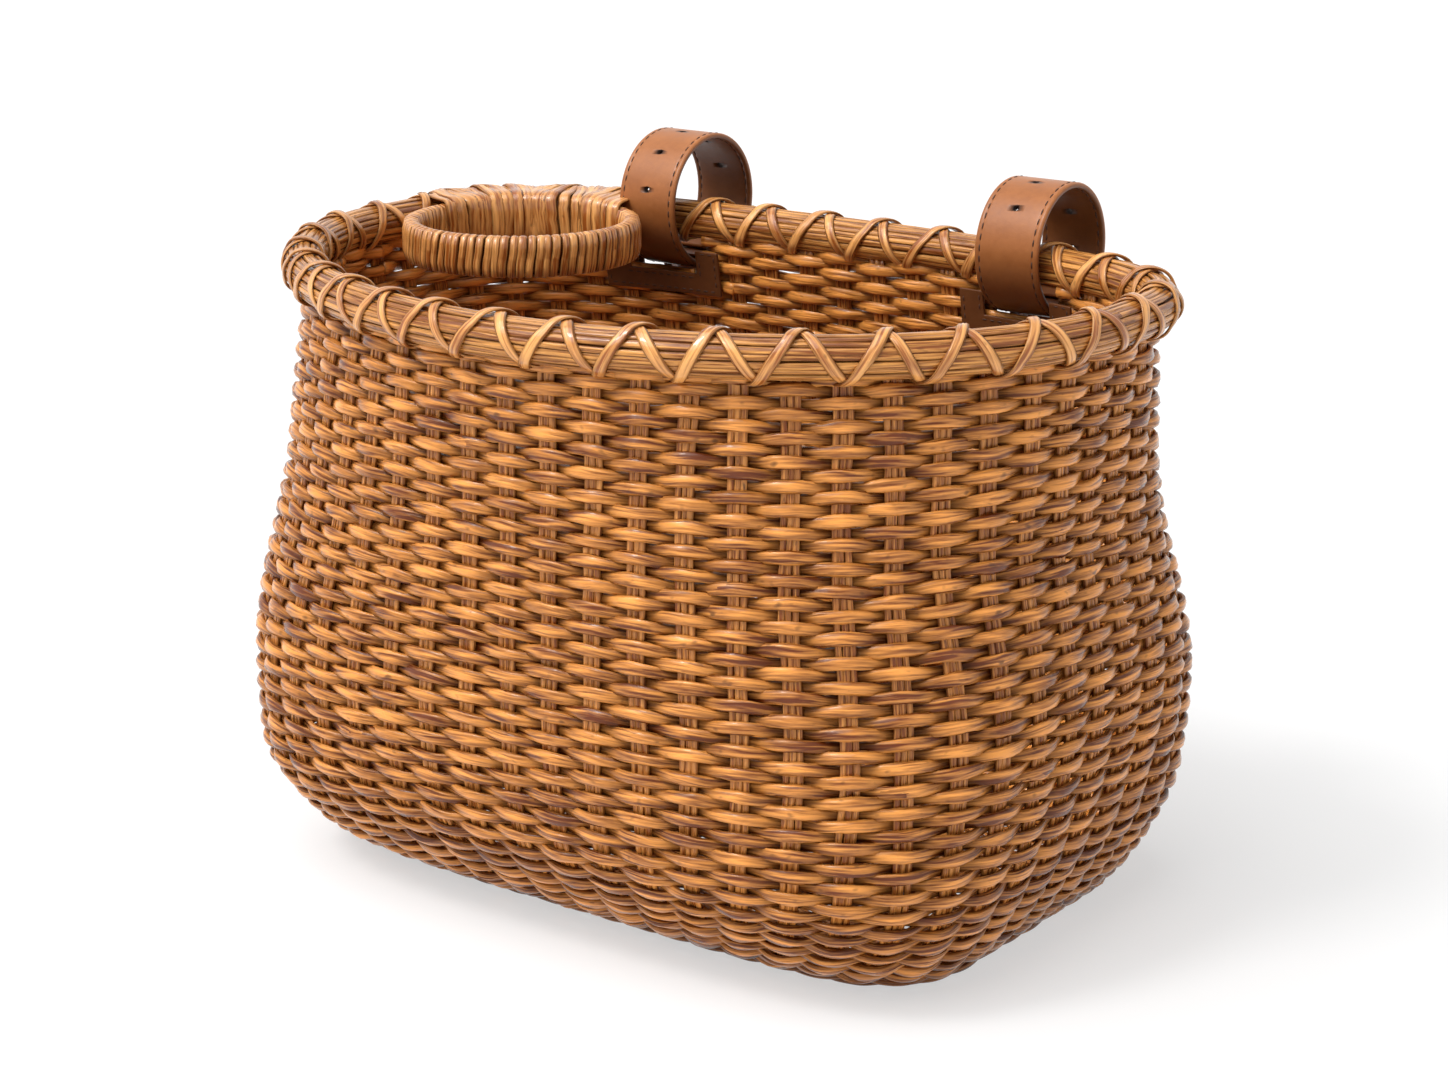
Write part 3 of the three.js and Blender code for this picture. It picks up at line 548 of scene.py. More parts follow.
def smooth_through(places, values, at):
    """A cubic in each span; the slope at a place is the harmonic mean of its two spans' slopes,
    and nothing where they turn back."""
    places, values = np.asarray(places, float), np.asarray(values, float)
    slope = np.diff(values) / np.diff(places)
    before, after = slope[:-1], slope[1:]
    same = before * after > 0
    inner = np.where(same, 2 * before * after / np.where(same, before + after, 1), 0)
    ease = np.concatenate([slope[:1], inner, slope[-1:]])
    i = np.clip(np.searchsorted(places, at, side="right") - 1, 0, len(places) - 2)
    span = places[i + 1] - places[i]
    t = (at - places[i]) / span
    rise = even_rise(t)
    bend = span * t * (1 - t) * ((1 - t) * ease[i] - t * ease[i + 1])
    return values[i] * (1 - rise) + values[i + 1] * rise + bend


def d_shape(angle, half_length, front, back, front_round, back_round):
    """Level points of the D: x = L·c^(2/n) and y = D·s^(2/n), with the front's or the back's
    depth D and roundness n, and the sines' signs kept."""
    c, s = np.cos(angle), np.sin(angle)
    power = 2 / np.where(s >= 0, back_round, front_round)
    depth = np.where(s >= 0, back, front)
    x = half_length * np.sign(c) * np.abs(c) ** power
    y = depth * np.sign(s) * np.abs(s) ** power
    return np.stack([x, y], -1)


def evenly(points, count):
    """The closed run of points again, as count + 1 points that lie evenly along it."""
    along = run_along(points)
    return read_run(np.linspace(0, along[-1], count + 1), along, points)


def other_way(value, half, depth, power):
    """The superellipse turned round: how deep it is at a place along it, D·(1 - |x/L|^n)^(1/n)."""
    return depth * (1 - np.minimum(np.abs(value) / half, 1) ** power) ** (1 / power)


AROUND = 1200
LEVELS = 150
fine_angles = np.linspace(0, 2 * np.pi, 2881)


def wall_table(inwards):
    """Places on the wall, drawn in by inwards, and their outward directions: one row a level."""
    heights = np.linspace(0, WALL_TOP, LEVELS)
    shares = heights / WALL_TOP
    sizes = [smooth_through(SHARES, v, shares) - inwards for v in (HALF_LENGTHS, FRONTS, BACKS)]
    rounds = [smooth_through(ROUND_SHARES, v, shares) for v in (FRONT_ROUNDS, BACK_ROUNDS)]
    rows = [evenly(d_shape(fine_angles, *row), AROUND) for row in zip(*sizes, *rounds)]
    places = np.empty((LEVELS, AROUND + 1, 3))
    places[..., :2] = rows
    places[..., 2] = heights[:, None]
    level = np.roll(places[:, :-1], -1, axis=1) - np.roll(places[:, :-1], 1, axis=1)
    level = np.concatenate([level, level[:, :1]], axis=1)
    upward = np.gradient(places, axis=0)
    return places, unit(np.cross(level, upward))


def read_table(table, share, level):
    """The table's value between its four nearest entries. Share is round the wall from 0 to 1,
    and level runs from 0 at the foot to 1 at the top."""
    a = (share % 1) * AROUND
    h = np.clip(level, 0, 1) * (LEVELS - 1)
    a0 = np.minimum(a.astype(int), AROUND - 1)
    h0 = np.minimum(h.astype(int), LEVELS - 2)
    fa, fh = (a - a0)[..., None], (h - h0)[..., None]
    low = table[h0, a0] * (1 - fa) + table[h0, a0 + 1] * fa
    high = table[h0 + 1, a0] * (1 - fa) + table[h0 + 1, a0 + 1] * fa
    return low * (1 - fh) + high * fh


wall_places, wall_outward = wall_table(WALL_THICKNESS / 2)
girths = np.linalg.norm(np.diff(wall_places, axis=1), axis=2).sum(1)
climbs = np.linalg.norm(np.diff(wall_places, axis=0), axis=2).mean(1)
climb = np.concatenate([[0], np.cumsum(climbs)])


def on_wall(share, height):
    """Place and outward direction in the middle of the wall; above its top it goes straight up."""
    place = read_table(wall_places, share, height / WALL_TOP)
    outward = read_table(wall_outward, share, height / WALL_TOP)
    place[..., 2] += np.maximum(height - WALL_TOP, 0)
    return place, unit(outward)


def height_of_climb(distance):
    """The height that lies a distance up the slope of the wall from its foot, and straight up
    above its top."""
    on_slope = np.interp(distance, climb, np.linspace(0, WALL_TOP, LEVELS))
    return on_slope + np.maximum(distance - climb[-1], 0)


def girth_at(height):
    """How far it is round the wall at a height."""
    return np.interp(height, np.linspace(0, WALL_TOP, LEVELS), girths)


print("slope from foot to top", round(climb[-1], 1), "girth", girths[[0, LEVELS // 2, -1]].round(1))

# %% [markdown]
# The stakes are the upright rods, in groups of three, that the weave goes round. There is an odd
# number of groups, because one weaver that spirals up the wall must pass inside a group on one
# round and outside it on the next. The groups that meet a strap's slot stop under it.

# %% Stakes
STAKES = 53
ROD_HALF_WIDE = 1.3
ROD_HALF_THICK = 1.0
ROD_SPACING = 2.28
SLOT_FLOOR = 217.04
SLOT_HALF = 16
STRAP_PLACES = {"left": -86.0, "right": 86.0}


def in_slot(place, margin):
    """True where a place lies in one of the two strap slots, grown by a margin."""
    near = np.min([np.abs(place[..., 0] - x) for x in STRAP_PLACES.values()], axis=0)
    return (near < SLOT_HALF + margin) & (place[..., 1] > 0) & (place[..., 2] > SLOT_FLOOR - margin)


STAKE_STEPS = 54
STAKE_FOOT = 1.2
STAKE_TOP = 233.0
UNDER_SLOT = 1.5
# How much a rod or its whole group drifts, and the length of the drift.
ROD_DRIFT = 0.22, 70
GROUP_DRIFT = 0.5, 210
ROD_OUT_DRIFT = 0.18, 50
ROD_GIRTH_DRIFT = 0.06, 40
stakes = []
for group in range(STAKES):
    share = group / STAKES
    top, _ = on_wall(np.array([share]), np.array([SLOT_FLOOR + 5.0]))
    ends = SLOT_FLOOR - UNDER_SLOT if in_slot(top, 3)[0] else STAKE_TOP
    heights = height_of_climb(np.linspace(STAKE_FOOT, climb[-1], STAKE_STEPS))
    heights = np.minimum(heights * ends / WALL_TOP + 1.0, ends)
    for rod in (-1, 0, 1):
        seed = 100 + 3 * group + rod
        drift = wander(heights, *ROD_DRIFT, seed)
        drift = drift + wander(heights, *GROUP_DRIFT, 7000 + group)
        shares = share + (rod * ROD_SPACING + drift) / girth_at(heights)
        place, outward = on_wall(shares, heights)
        place = place + outward * wander(heights, *ROD_OUT_DRIFT, seed + 900)[:, None]
        girth = 1 + wander(heights, *ROD_GIRTH_DRIFT, seed + 300)
        thick, wide = ROD_HALF_THICK * girth, ROD_HALF_WIDE * girth
        rings = strand_rings(place, outward, thick, wide, square=2.6)
        tone = float(np.random.default_rng(seed).normal(0, 0.1))
        stakes.append((rings, tone, outer_depth(8, 0.42, 0.95)))
put_strands("wall_stakes", stakes, stake_look, "woven_rattan")
print("stake groups", STAKES, "spacing at the top", round(girths[-1] / STAKES, 1), "mm")

# %% [markdown]
# The weave is plain: a flattened reed goes outside one group of stakes and inside the next. Its
# path is the wall's surface plus a cosine that has a stake to each half wave. The reed is full
# where it crosses a stake and slim between two stakes, which gives the long leaf shapes of real
# wicker. Rows pack a little aslant: at the front a reed rises as it comes out, at the back it
# sinks. It is laid in many lengths, each with its own tone, whose ends tuck in behind a stake.

# %% Weavers
ROW_PITCH = 4.02
BORDER_CLIMB = 9.5
REED_HALF_THICK = 1.38
REED_HALF_HIGH = 2.43
REED_POINTS = 12
# Painted light: how much lighter the reeds' inner faces are made, for light inside the basket.
INNER_PAINTED_LIGHT = 0.42
ASLANT = 0.34
STEPS_PER_STAKE = 8
ABOVE_WALL = 3.4
END_STAKES = 1.2
END_SLIP = 0.9
END_TUCK = 0.8
MIDDLE_DEPTH = 0.6
DEPTH_SWING = 0.42
BLUNT = 0.1
SLIM = 0.1
REED_RIDGES = 0.1
REED_TURNS = 0.9, 2.3
SLOT_MARGIN = 0.6
# How much each measure drifts along a reed, and the length of the drift.
LIFT_DRIFT = 0.34, 120
HIGH_DRIFT = 0.05, 31
THICK_DRIFT = 0.1, 43
TWIST_DRIFT = 0.2, 47
reed_swing = ROD_HALF_THICK + REED_HALF_THICK - 0.1
steps_per_turn = STAKES * STEPS_PER_STAKE
turns_in_wall = (climb[-1] + ABOVE_WALL - BORDER_CLIMB) / ROW_PITCH + 0.9


def weaver(first_turn, last_turn, seed):
    """The rings of one reed between two turns of the spiral, with its depth in the weave, which
    paints shade, and a lighter tone painted on its inner faces.
    """
    first, last = round(first_turn * steps_per_turn), round(last_turn * steps_per_turn)
    turn = np.arange(first, last + 1) / steps_per_turn
    walked = turn * girth_at(100)
    lift = wander(walked, *LIFT_DRIFT, seed)
    edge = np.minimum(turn - turn[0], turn[-1] - turn) * STAKES
    ending = np.clip(1 - edge / END_STAKES, 0, 1) ** 2
    sign = np.where(turn - turn[0] < turn[-1] - turn, -1, 1)
    climbed = BORDER_CLIMB + turn * ROW_PITCH + lift + END_SLIP * ending * sign
    height = height_of_climb(np.minimum(climbed, climb[-1] + ABOVE_WALL))
    place, outward = on_wall(turn, height)
    wave = np.cos(np.pi * STAKES * turn)
    swing = reed_swing * ((1 + BLUNT) * wave - BLUNT * wave**3) - END_TUCK * ending
    aslant = unit(outward - ASLANT * outward[:, 1:2] * np.array([0, 0, 1.0]))
    place = place + aslant * swing[:, None]
    high = REED_HALF_HIGH * (1 - SLIM + SLIM * wave**2)
    high = high * (1 + wander(walked, *HIGH_DRIFT, seed + 1))
    thick = REED_HALF_THICK * (1 + wander(walked, *THICK_DRIFT, seed + 2))
    section = {
        "points": REED_POINTS,
        "square": 2.3,
        "turn": wander(walked, *TWIST_DRIFT, seed + 3),
        "relief": ridges(walked, REED_POINTS, REED_RIDGES, seed % 997),
    }
    rings = strand_rings(place, outward, thick, high, **section)
    faces_out = np.cos(np.linspace(0, 2 * np.pi, REED_POINTS, endpoint=False))
    # Painted shade: the depth falls on faces that turn into the weave, as at the leaf ends.
    depth = MIDDLE_DEPTH + DEPTH_SWING * wave[:, None] * faces_out[None, :]
    # Painted light: faces turned inwards get a lighter tone, standing in for light inside the
    # basket.
    painted_inner_light = INNER_PAINTED_LIGHT * np.clip(-faces_out, 0, 1)[None, :]
    return rings, place, depth, painted_inner_light


def whole_runs(place, margin):
    """The stretches of a strand that lie outside the strap slots, as slices."""
    keep = ~in_slot(place, margin)
    edges = np.flatnonzero(np.diff(np.concatenate([[0], keep.astype(int), [0]])))
    return [slice(a, b) for a, b in zip(edges[::2], edges[1::2]) if b - a > 3]


reed_rng = np.random.default_rng(53)
weavers = []
turn_now = 0.0
while turn_now < turns_in_wall - 0.2:
    length = reed_rng.uniform(*REED_TURNS)
    turn_end = min(turn_now + length, turns_in_wall)
    turn_end = (2 * round(turn_end * STAKES / 2) + 1) / STAKES
    rings, place, depth, painted_inner_light = weaver(turn_now, turn_end, int(reed_rng.integers(1e6)))
    tone = float(reed_rng.normal(0.02, 0.1))
    for run in whole_runs(place, SLOT_MARGIN):
        weavers.append((turn_now, (rings[run], tone + painted_inner_light, depth[run])))
    turn_now = turn_end - 2 / STAKES
bands = [("lower", 0, 0.25), ("belly", 0.25, 0.5), ("shoulder", 0.5, 0.75), ("upper", 0.75, 2)]
for name, low, high in bands:
    chosen = [s for t, s in weavers if low <= t / turns_in_wall < high]
    put_strands(f"wall_reeds_{name}", chosen, weave_look, "woven_rattan")
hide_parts("wall_weave")
print("rows", round(turns_in_wall, 1), "lengths of reed", len(weavers))

# %% [markdown]
# The foot is bound by thinner rods that run round it in slow waves, each a third of a wave behind
# the one below, as a basket maker starts the sides over a new base. They also hide where the
# stakes come up.

# %% Foot border
BORDER_RODS = 5
BORDER_WAVES = 18
BORDER_PITCH = 1.95
BORDER_STEPS = 560
BORDER_LOWEST = 1.25
BORDER_FIRST = 1.35
BORDER_OUT = 0.9
BORDER_SWING = 1.5
BORDER_RISE = 0.9
BORDER_RISE_SHARE = 0.45
BORDER_LEAST_LIFT = 1.3
BORDER_HALVES = 1.15, 1.1
border = []
around_share = np.arange(BORDER_STEPS) / BORDER_STEPS
for rod in range(BORDER_RODS):
    phase = 2 * np.pi * (BORDER_WAVES * around_share + rod / 3)
    wave = np.cos(phase)
    rise = BORDER_RISE * np.sin(phase)
    lift = BORDER_FIRST + rod * BORDER_PITCH + (BORDER_RISE_SHARE * rise if rod else 0)
    lift = np.maximum(lift, BORDER_LEAST_LIFT) * np.ones(BORDER_STEPS)
    place, outward = on_wall(around_share, height_of_climb(lift))
    place = place + outward * (BORDER_OUT + BORDER_SWING * wave)[:, None]
    place[:, 2] = np.maximum(place[:, 2], BORDER_LOWEST)
    rings = strand_rings(place, outward, *BORDER_HALVES, closed=True)
    # Painted shade: the depth is lower where the rod's wave dips in towards the wall.
    border.append((rings, -0.04 * rod, 0.8 + 0.1 * wave[:, None]))
put_strands("foot_border", border, weave_look, "woven_rattan", closed=True)

# %% [markdown]
# The base is woven flat: rods lie in threes from front to back and reeds cross them. It is seen
# through the mouth and from below, so it is real weave too, cut to the foot's D shape.

# %% Base
BASE_HEIGHT = 2.7
BASE_STICK_PITCH = 18.0
BASE_SWING = 1.35
BASE_ROWS = np.arange(-62.0, 102.0, 4.0)
BASE_STICKS = range(-7, 8)
BASE_REED_HALVES = 0.85, 1.85
BASE_ROD_HALVES = 0.75, 1.0
BASE_REED_DRIFT = 0.2, 80
BASE_ROD_DRIFT = 0.2, 90
base_half = HALF_LENGTHS[0] - WALL_THICKNESS / 2
base_front = FRONTS[0] - WALL_THICKNESS / 2
base_back = BACKS[0] - WALL_THICKNESS / 2
base_strands = []
level_up = np.array([0.0, 0.0, 1.0])
# The base's reeds and rods get depths below 1, which paint shade over the whole base.
for row, y in enumerate(BASE_ROWS):
    depth, power = (base_back, BACK_ROUNDS[0]) if y >= 0 else (base_front, FRONT_ROUNDS[0])
    reach = float(other_way(y, depth, base_half, power))
    x = np.linspace(-reach, reach, int(reach / BASE_STICK_PITCH * 2 * STEPS_PER_STAKE) + 2)
    wave = np.cos(np.pi * (x / BASE_STICK_PITCH + row))
    drift = wander(x, *BASE_REED_DRIFT, 4000 + row)
    place = np.stack([x, y + drift, BASE_HEIGHT + BASE_SWING * wave], -1)
    rings = strand_rings(place, level_up, *BASE_REED_HALVES, square=2.3)
    tone = float(reed_rng.normal(-0.05, 0.1))
    base_strands.append((rings, tone, 0.6))
for stick in BASE_STICKS:
    for rod in (-1, 0, 1):
        x = stick * BASE_STICK_PITCH + rod * ROD_SPACING
        front_end = -other_way(x, base_half, base_front, FRONT_ROUNDS[0])
        back_end = other_way(x, base_half, base_back, BACK_ROUNDS[0])
        y = np.linspace(front_end, back_end, 24)
        drift = wander(y, *BASE_ROD_DRIFT, 5000 + 3 * stick + rod)
        place = np.stack([x + drift, y, BASE_HEIGHT + 0 * y], -1)
        rings = strand_rings(place, level_up, *BASE_ROD_HALVES, points=6)
        base_strands.append((rings, 0.0, 0.55))
base_weave = put_strands("base_weave", base_strands, weave_look, "woven_rattan")
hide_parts("base_panel")

# %% [markdown]
# The rim is a thick bundle: a round core with flat rattan splits laid side by side round it. The
# splits differ in width and wander a little, so the bundle shows long uneven lines.

# %% The rim's line
BUNDLE_RADIUS = 7.7
RIM_FINE = 1440
rim_halves = [RIM_LINE[key] for key in ("length", "front", "back")]
rim_level = d_shape(fine_angles, *rim_halves, FRONT_ROUND, BACK_ROUND)
rim_points = evenly(rim_level, RIM_FINE)
rim_run = unit(np.roll(rim_points[:-1], -1, axis=0) - np.roll(rim_points[:-1], 1, axis=0))
rim_run = np.concatenate([rim_run, rim_run[:1]])
rim_length = float(np.linalg.norm(np.diff(rim_points, axis=0), axis=1).sum())


def on_rim(share):
    """The rim's centre line and its level outward direction at a share of its length."""
    at = (np.asarray(share, float) % 1) * RIM_FINE
    k = np.minimum(at.astype(int), RIM_FINE - 1)
    t = (at - k)[..., None]
    point = rim_points[k] * (1 - t) + rim_points[k + 1] * t
    run = unit(rim_run[k] * (1 - t) + rim_run[k + 1] * t)
    place = np.concatenate([point, np.full((*point.shape[:-1], 1), RIM_LINE["height"])], -1)
    outward = np.stack([run[..., 1], -run[..., 0], 0 * run[..., 0]], -1)
    return place, outward


def beside_rim(share, radius, angle):
    """A point at a radius and angle round the rim's line, 0 outwards and 90 degrees up, with the
    direction that points away from the line there."""
    place, outward = on_rim(share)
    away = outward * np.cos(angle)[..., None] + level_up * np.sin(angle)[..., None]
    return place + away * np.broadcast_to(radius, np.shape(angle))[..., None], away


print("rim length", round(rim_length, 1), "mm")

# %% Splits of the rim
SPLITS = 19
SPLIT_STEPS = 330
SPLIT_HALF_THICK = 0.98
SPLIT_SINK = 0.85
SPLIT_WIDTHS = 0.75, 1.25
SPLIT_OVERLAP = 1.04
SPLIT_DRIFT = 0.05
SPLIT_LIFT = 0.22
SPLIT_RIDGES = 0.03
CORE_RADIUS = BUNDLE_RADIUS - 1.5
split_share = np.arange(SPLIT_STEPS) / SPLIT_STEPS
split_along = split_share * rim_length
rim_rng = np.random.default_rng(19)
split_widths = rim_rng.uniform(*SPLIT_WIDTHS, SPLITS)
split_edges = np.concatenate([[0], np.cumsum(split_widths)]) / split_widths.sum() * 2 * np.pi
splits = []
for k in range(SPLITS):
    middle = (split_edges[k] + split_edges[k + 1]) / 2
    half_wide = (split_edges[k + 1] - split_edges[k]) / 2 * BUNDLE_RADIUS
    waves = np.round(rim_rng.uniform(2, 7, 2))
    drift = SPLIT_DRIFT * np.sin(2 * np.pi * (waves[0] * split_share + rim_rng.uniform()))
    lift = SPLIT_LIFT * np.sin(2 * np.pi * (waves[1] * split_share + rim_rng.uniform()))
    place, away = beside_rim(split_share, BUNDLE_RADIUS - SPLIT_SINK + lift, middle + drift)
    relief = ridges(split_along, 12, SPLIT_RIDGES, 40 + k)
    section = {"points": 12, "square": 2.5, "relief": relief}
    halves = SPLIT_HALF_THICK, half_wide * SPLIT_OVERLAP
    rings = strand_rings(place, away, *halves, closed=True, **section)
    splits.append((rings, float(rim_rng.normal(0, 0.12)), outer_depth(12, 0.25, 0.95)))
rim_splits = put_strands("rim_splits", splits, rim_look, "rim_rattan", closed=True)
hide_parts(*[f"rim_reed_{k}" for k in range(1, 9)])
core = strand_rings(*on_rim(split_share), CORE_RADIUS, CORE_RADIUS, closed=True, points=16)
# The core's low depth paints it dark, as shade under the splits.
rim_middle = put_strands("rim_middle", [(core, -0.25, 0.2)], rim_look, "rim_rattan", closed=True)
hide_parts("rim_core")

# %% [markdown]
# The cup ring is a hoop wound tightly with narrow cane. It hangs inside the rim's back left
# corner, and broad turns of cane lash it to the bundle. Its place is the middle of the packed
# hoop, and it faces the nearest point of the rim.

# %% The cup ring's place
RING_OUTER = 48.2
RING_WIDTH = 7.0
RING_HEIGHT = 16.6
hoop_low, hoop_high = (np.array(corner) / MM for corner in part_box("ring_hoop"))
ring_centre = (hoop_low + hoop_high) / 2
RING_TOP = ring_centre[2] + RING_HEIGHT / 2
from_ring = rim_points[:-1] - ring_centre[:2]
nearest = from_ring[np.linalg.norm(from_ring, axis=1).argmin()]
ring_facing = math.atan2(nearest[1], nearest[0])
ring_middle = RING_OUTER - RING_WIDTH / 2


def on_ring(angle, out, height):
    """A point of the ring's section: outwards from the middle of its width, and up."""
    radius = ring_middle + out
    x = ring_centre[0] + radius * np.cos(angle)
    y = ring_centre[1] + radius * np.sin(angle)
    return np.stack([x, y, ring_centre[2] + height + 0 * x], -1)


def rounded_oblong(turn, half_width, half_height, corner):
    """A point of an oblong with round corners, and the way out of it. The turn picks the corner's
    arc or the straight side: the point is the nearest inner corner plus the corner's radius."""
    c, s = np.cos(turn), np.sin(turn)
    scale = 1 / np.maximum(np.abs(c) / half_width, np.abs(s) / half_height)
    x, y = c * scale, s * scale
    inner_x = np.clip(x, corner - half_width, half_width - corner)
    inner_y = np.clip(y, corner - half_height, half_height - corner)
    away = unit(np.stack([x - inner_x, y - inner_y], -1) + 1e-9)
    return inner_x + corner * away[..., 0], inner_y + corner * away[..., 1], away


print("ring centre", ring_centre.round(1))

# %% The hoop inside the cup ring
HOOP_HALF_THICK = 2.2
HOOP_HALF_HIGH = RING_HEIGHT / 2 - 1.3


def out_of_ring(angle):
    """The level direction out of the ring's middle."""
    return np.stack([np.cos(angle), np.sin(angle), 0 * angle], -1)


hoop_angle = np.arange(120) / 120 * 2 * np.pi
hoop = strand_rings(
    on_ring(hoop_angle, 0, 0), out_of_ring(hoop_angle), HOOP_HALF_THICK, HOOP_HALF_HIGH,
    closed=True, points=16, square=5,
)
# The hoop's low depth paints it dark, as shade inside the wrapped cane.
ring_hoop = put_strands("ring_inside", [(hoop, -0.2, 0.2)], rim_look, "rim_rattan", closed=True)
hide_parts("ring_hoop")

# %% Cane round the cup ring
WRAP_TURNS = 86
WRAP_THICK = 0.62
WRAP_HALF_WIDE = 1.7
WRAP_CORNER = 2.2
WRAP_SINK = 0.26
WRAP_UNEVEN = 0.17
WRAP_WIDTH_SWING = 0.06
wrap_steps = WRAP_TURNS * 20
wrap_turn = np.arange(wrap_steps) / wrap_steps
uneven = WRAP_UNEVEN * np.sin(2 * np.pi * wrap_turn * 23) * np.sin(2 * np.pi * wrap_turn * 7)
wrap_angle = 2 * np.pi * (wrap_turn + uneven / WRAP_TURNS)
section = 2 * np.pi * WRAP_TURNS * wrap_turn
ring_halves = RING_WIDTH / 2 - WRAP_THICK, RING_HEIGHT / 2 - WRAP_THICK
out_mm, up_mm, away_flat = rounded_oblong(section, *ring_halves, WRAP_CORNER)
place = on_ring(wrap_angle, out_mm, up_mm)
away = out_of_ring(wrap_angle) * away_flat[:, :1] + level_up * away_flat[:, 1:]
wrap_wide = WRAP_HALF_WIDE * (1 + WRAP_WIDTH_SWING * np.sin(2 * np.pi * wrap_turn * 41))
wrap_halves = WRAP_THICK + WRAP_SINK, wrap_wide
rings = strand_rings(place, away, *wrap_halves, closed=True, points=12, square=2.1)
turn_tones = np.random.default_rng(86).normal(-0.02, 0.13, WRAP_TURNS)
wrap_tone = turn_tones[(wrap_turn * WRAP_TURNS).astype(int)]
wrap_strand = rings, wrap_tone[:, None], outer_depth(12, 0.3, 1)
ring_wrap = put_strands("ring_wrap", [wrap_strand], cane_look, "lacing_cane", closed=True)
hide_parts("ring_wrap_1", "ring_wrap_2")

# %% [markdown]
# The lashing is one long cane. Each turn goes up the inside of the ring, over the top to the far
# side of the bundle, and back underneath. Its turns lean and ride up on their neighbours, so each
# has its own lean, its own height and its own width.

# %% Lashing between the ring and the rim
CANE_POINTS = 20
TIE_TURNS = 32
TIE_HALF_ANGLE = math.radians(52)
TIE_STEPS = 48
TIE_HALF_WIDE = 3.2
TIE_HALF_THICK = 0.85
TIE_LEAN = 12
TIE_OVER_BUNDLE = 0.75
TIE_RIDING = 0.2, 1.5
TIE_WIDTHS = 0.8, 1.1
TIE_TONES = -0.2, 0.22
OVER_BUNDLE = [95, 55, 15, -25, -65, -95]


def nearest_share(point):
    """The share of the rim's length whose point is nearest to each point."""
    apart = np.linalg.norm(rim_points[None, :-1] - point[:, None, :2], axis=2)
    return apart.argmin(1) / RIM_FINE


def smooth_loop(corners, share):
    """Points at shares of a closed smooth run through corners: in each span a cubic whose slopes
    come from the corners on either side. Each share has its own row of corners."""
    count = corners.shape[1]
    k = (share * count).astype(int) % count
    f = (share * count % 1)[:, None]
    row = np.arange(len(share))
    p0, p1, p2, p3 = (corners[row, (k + d) % count] for d in (-1, 0, 1, 2))
    bend = 2 * p0 - 5 * p1 + 4 * p2 - p3
    return 0.5 * (2 * p1 + (p2 - p0) * f + bend * f**2 + (3 * p1 - p0 - 3 * p2 + p3) * f**3)


def from_turn_to_turn(low, high, seed, spread=1):
    """A value for each step of the lashing that drifts smoothly from one turn's to the next's,
    each of them the mean of a few random values."""
    values = np.random.default_rng(seed).uniform(low, high, TIE_TURNS + 1 + spread)
    values = np.convolve(values, np.ones(spread) / spread, "valid")
    turn = np.arange(TIE_TURNS * TIE_STEPS) / TIE_STEPS
    return np.interp(turn, np.arange(TIE_TURNS + 2), values)


tie_turn = np.arange(TIE_TURNS * TIE_STEPS) / TIE_STEPS
lean = np.radians(from_turn_to_turn(-TIE_LEAN, TIE_LEAN, 31, 3)) * np.sin(2 * np.pi * tie_turn)
tie_angle = ring_facing + TIE_HALF_ANGLE * (2 * tie_turn / TIE_TURNS - 1) + lean
ring_side = on_ring(tie_angle, RING_WIDTH / 2, 0)
tie_centre, _ = on_rim(nearest_share(ring_side))
towards = tie_centre - ring_side
towards[:, 2] = 0
gap = np.linalg.norm(towards, axis=1)
towards = unit(towards)
riding = from_turn_to_turn(*TIE_RIDING, 32)
over = BUNDLE_RADIUS + TIE_OVER_BUNDLE + riding
bundle_angles = np.radians(OVER_BUNDLE)
bundle = over[:, None, None] * np.stack([np.cos(bundle_angles), np.sin(bundle_angles)], -1)
low = ring_centre[2] - RING_HEIGHT / 2 - RIM_LINE["height"]
high = RING_TOP - RIM_LINE["height"]
near = -gap - RING_WIDTH
corners = [
    (-gap - 1, low - 0.4 - riding),
    (near + 1.0, low - 0.5 - riding),
    (near - 0.5 - riding, low + 3 + 0 * gap),
    (near - 0.5 - riding, high - 3 + 0 * gap),
    (near + 1.0, high + 0.5 + riding),
    (-gap / 2 - 2, high + 1.3 + riding),
]
hoop = np.stack([np.stack(corner, -1) for corner in corners], axis=1)
section = smooth_loop(np.concatenate([bundle, hoop], axis=1), tie_turn % 1)
place = tie_centre + towards * section[:, :1] + level_up * section[:, 1:]
middle = tie_centre - towards * (gap[:, None] / 2 + 1)
tie_wide = TIE_HALF_WIDE * from_turn_to_turn(*TIE_WIDTHS, 33)
cane = {"points": CANE_POINTS, "relief": grooved(CANE_POINTS, 2, 0.3)}
rings = strand_rings(place, place - middle, TIE_HALF_THICK, tie_wide, square=2.2, **cane)
tie_tone = from_turn_to_turn(*TIE_TONES, 34)
tie_strand = rings, tie_tone[:, None], outer_depth(CANE_POINTS, 0.3, 1)
ring_tie = put_strands("ring_lashing", [tie_strand], cane_look, "lacing_cane")
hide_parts("ring_tie")

# %% [markdown]
# Two flat canes wind round the bundle in opposite directions. They cross on top and underneath,
# so the outside shows a row of zigzags. One rides over the other where they cross. In front the
# lacing is rolled a little inwards over the bundle, which brings its lower crossings to the
# outside. Both canes stop on either side of the lashing.

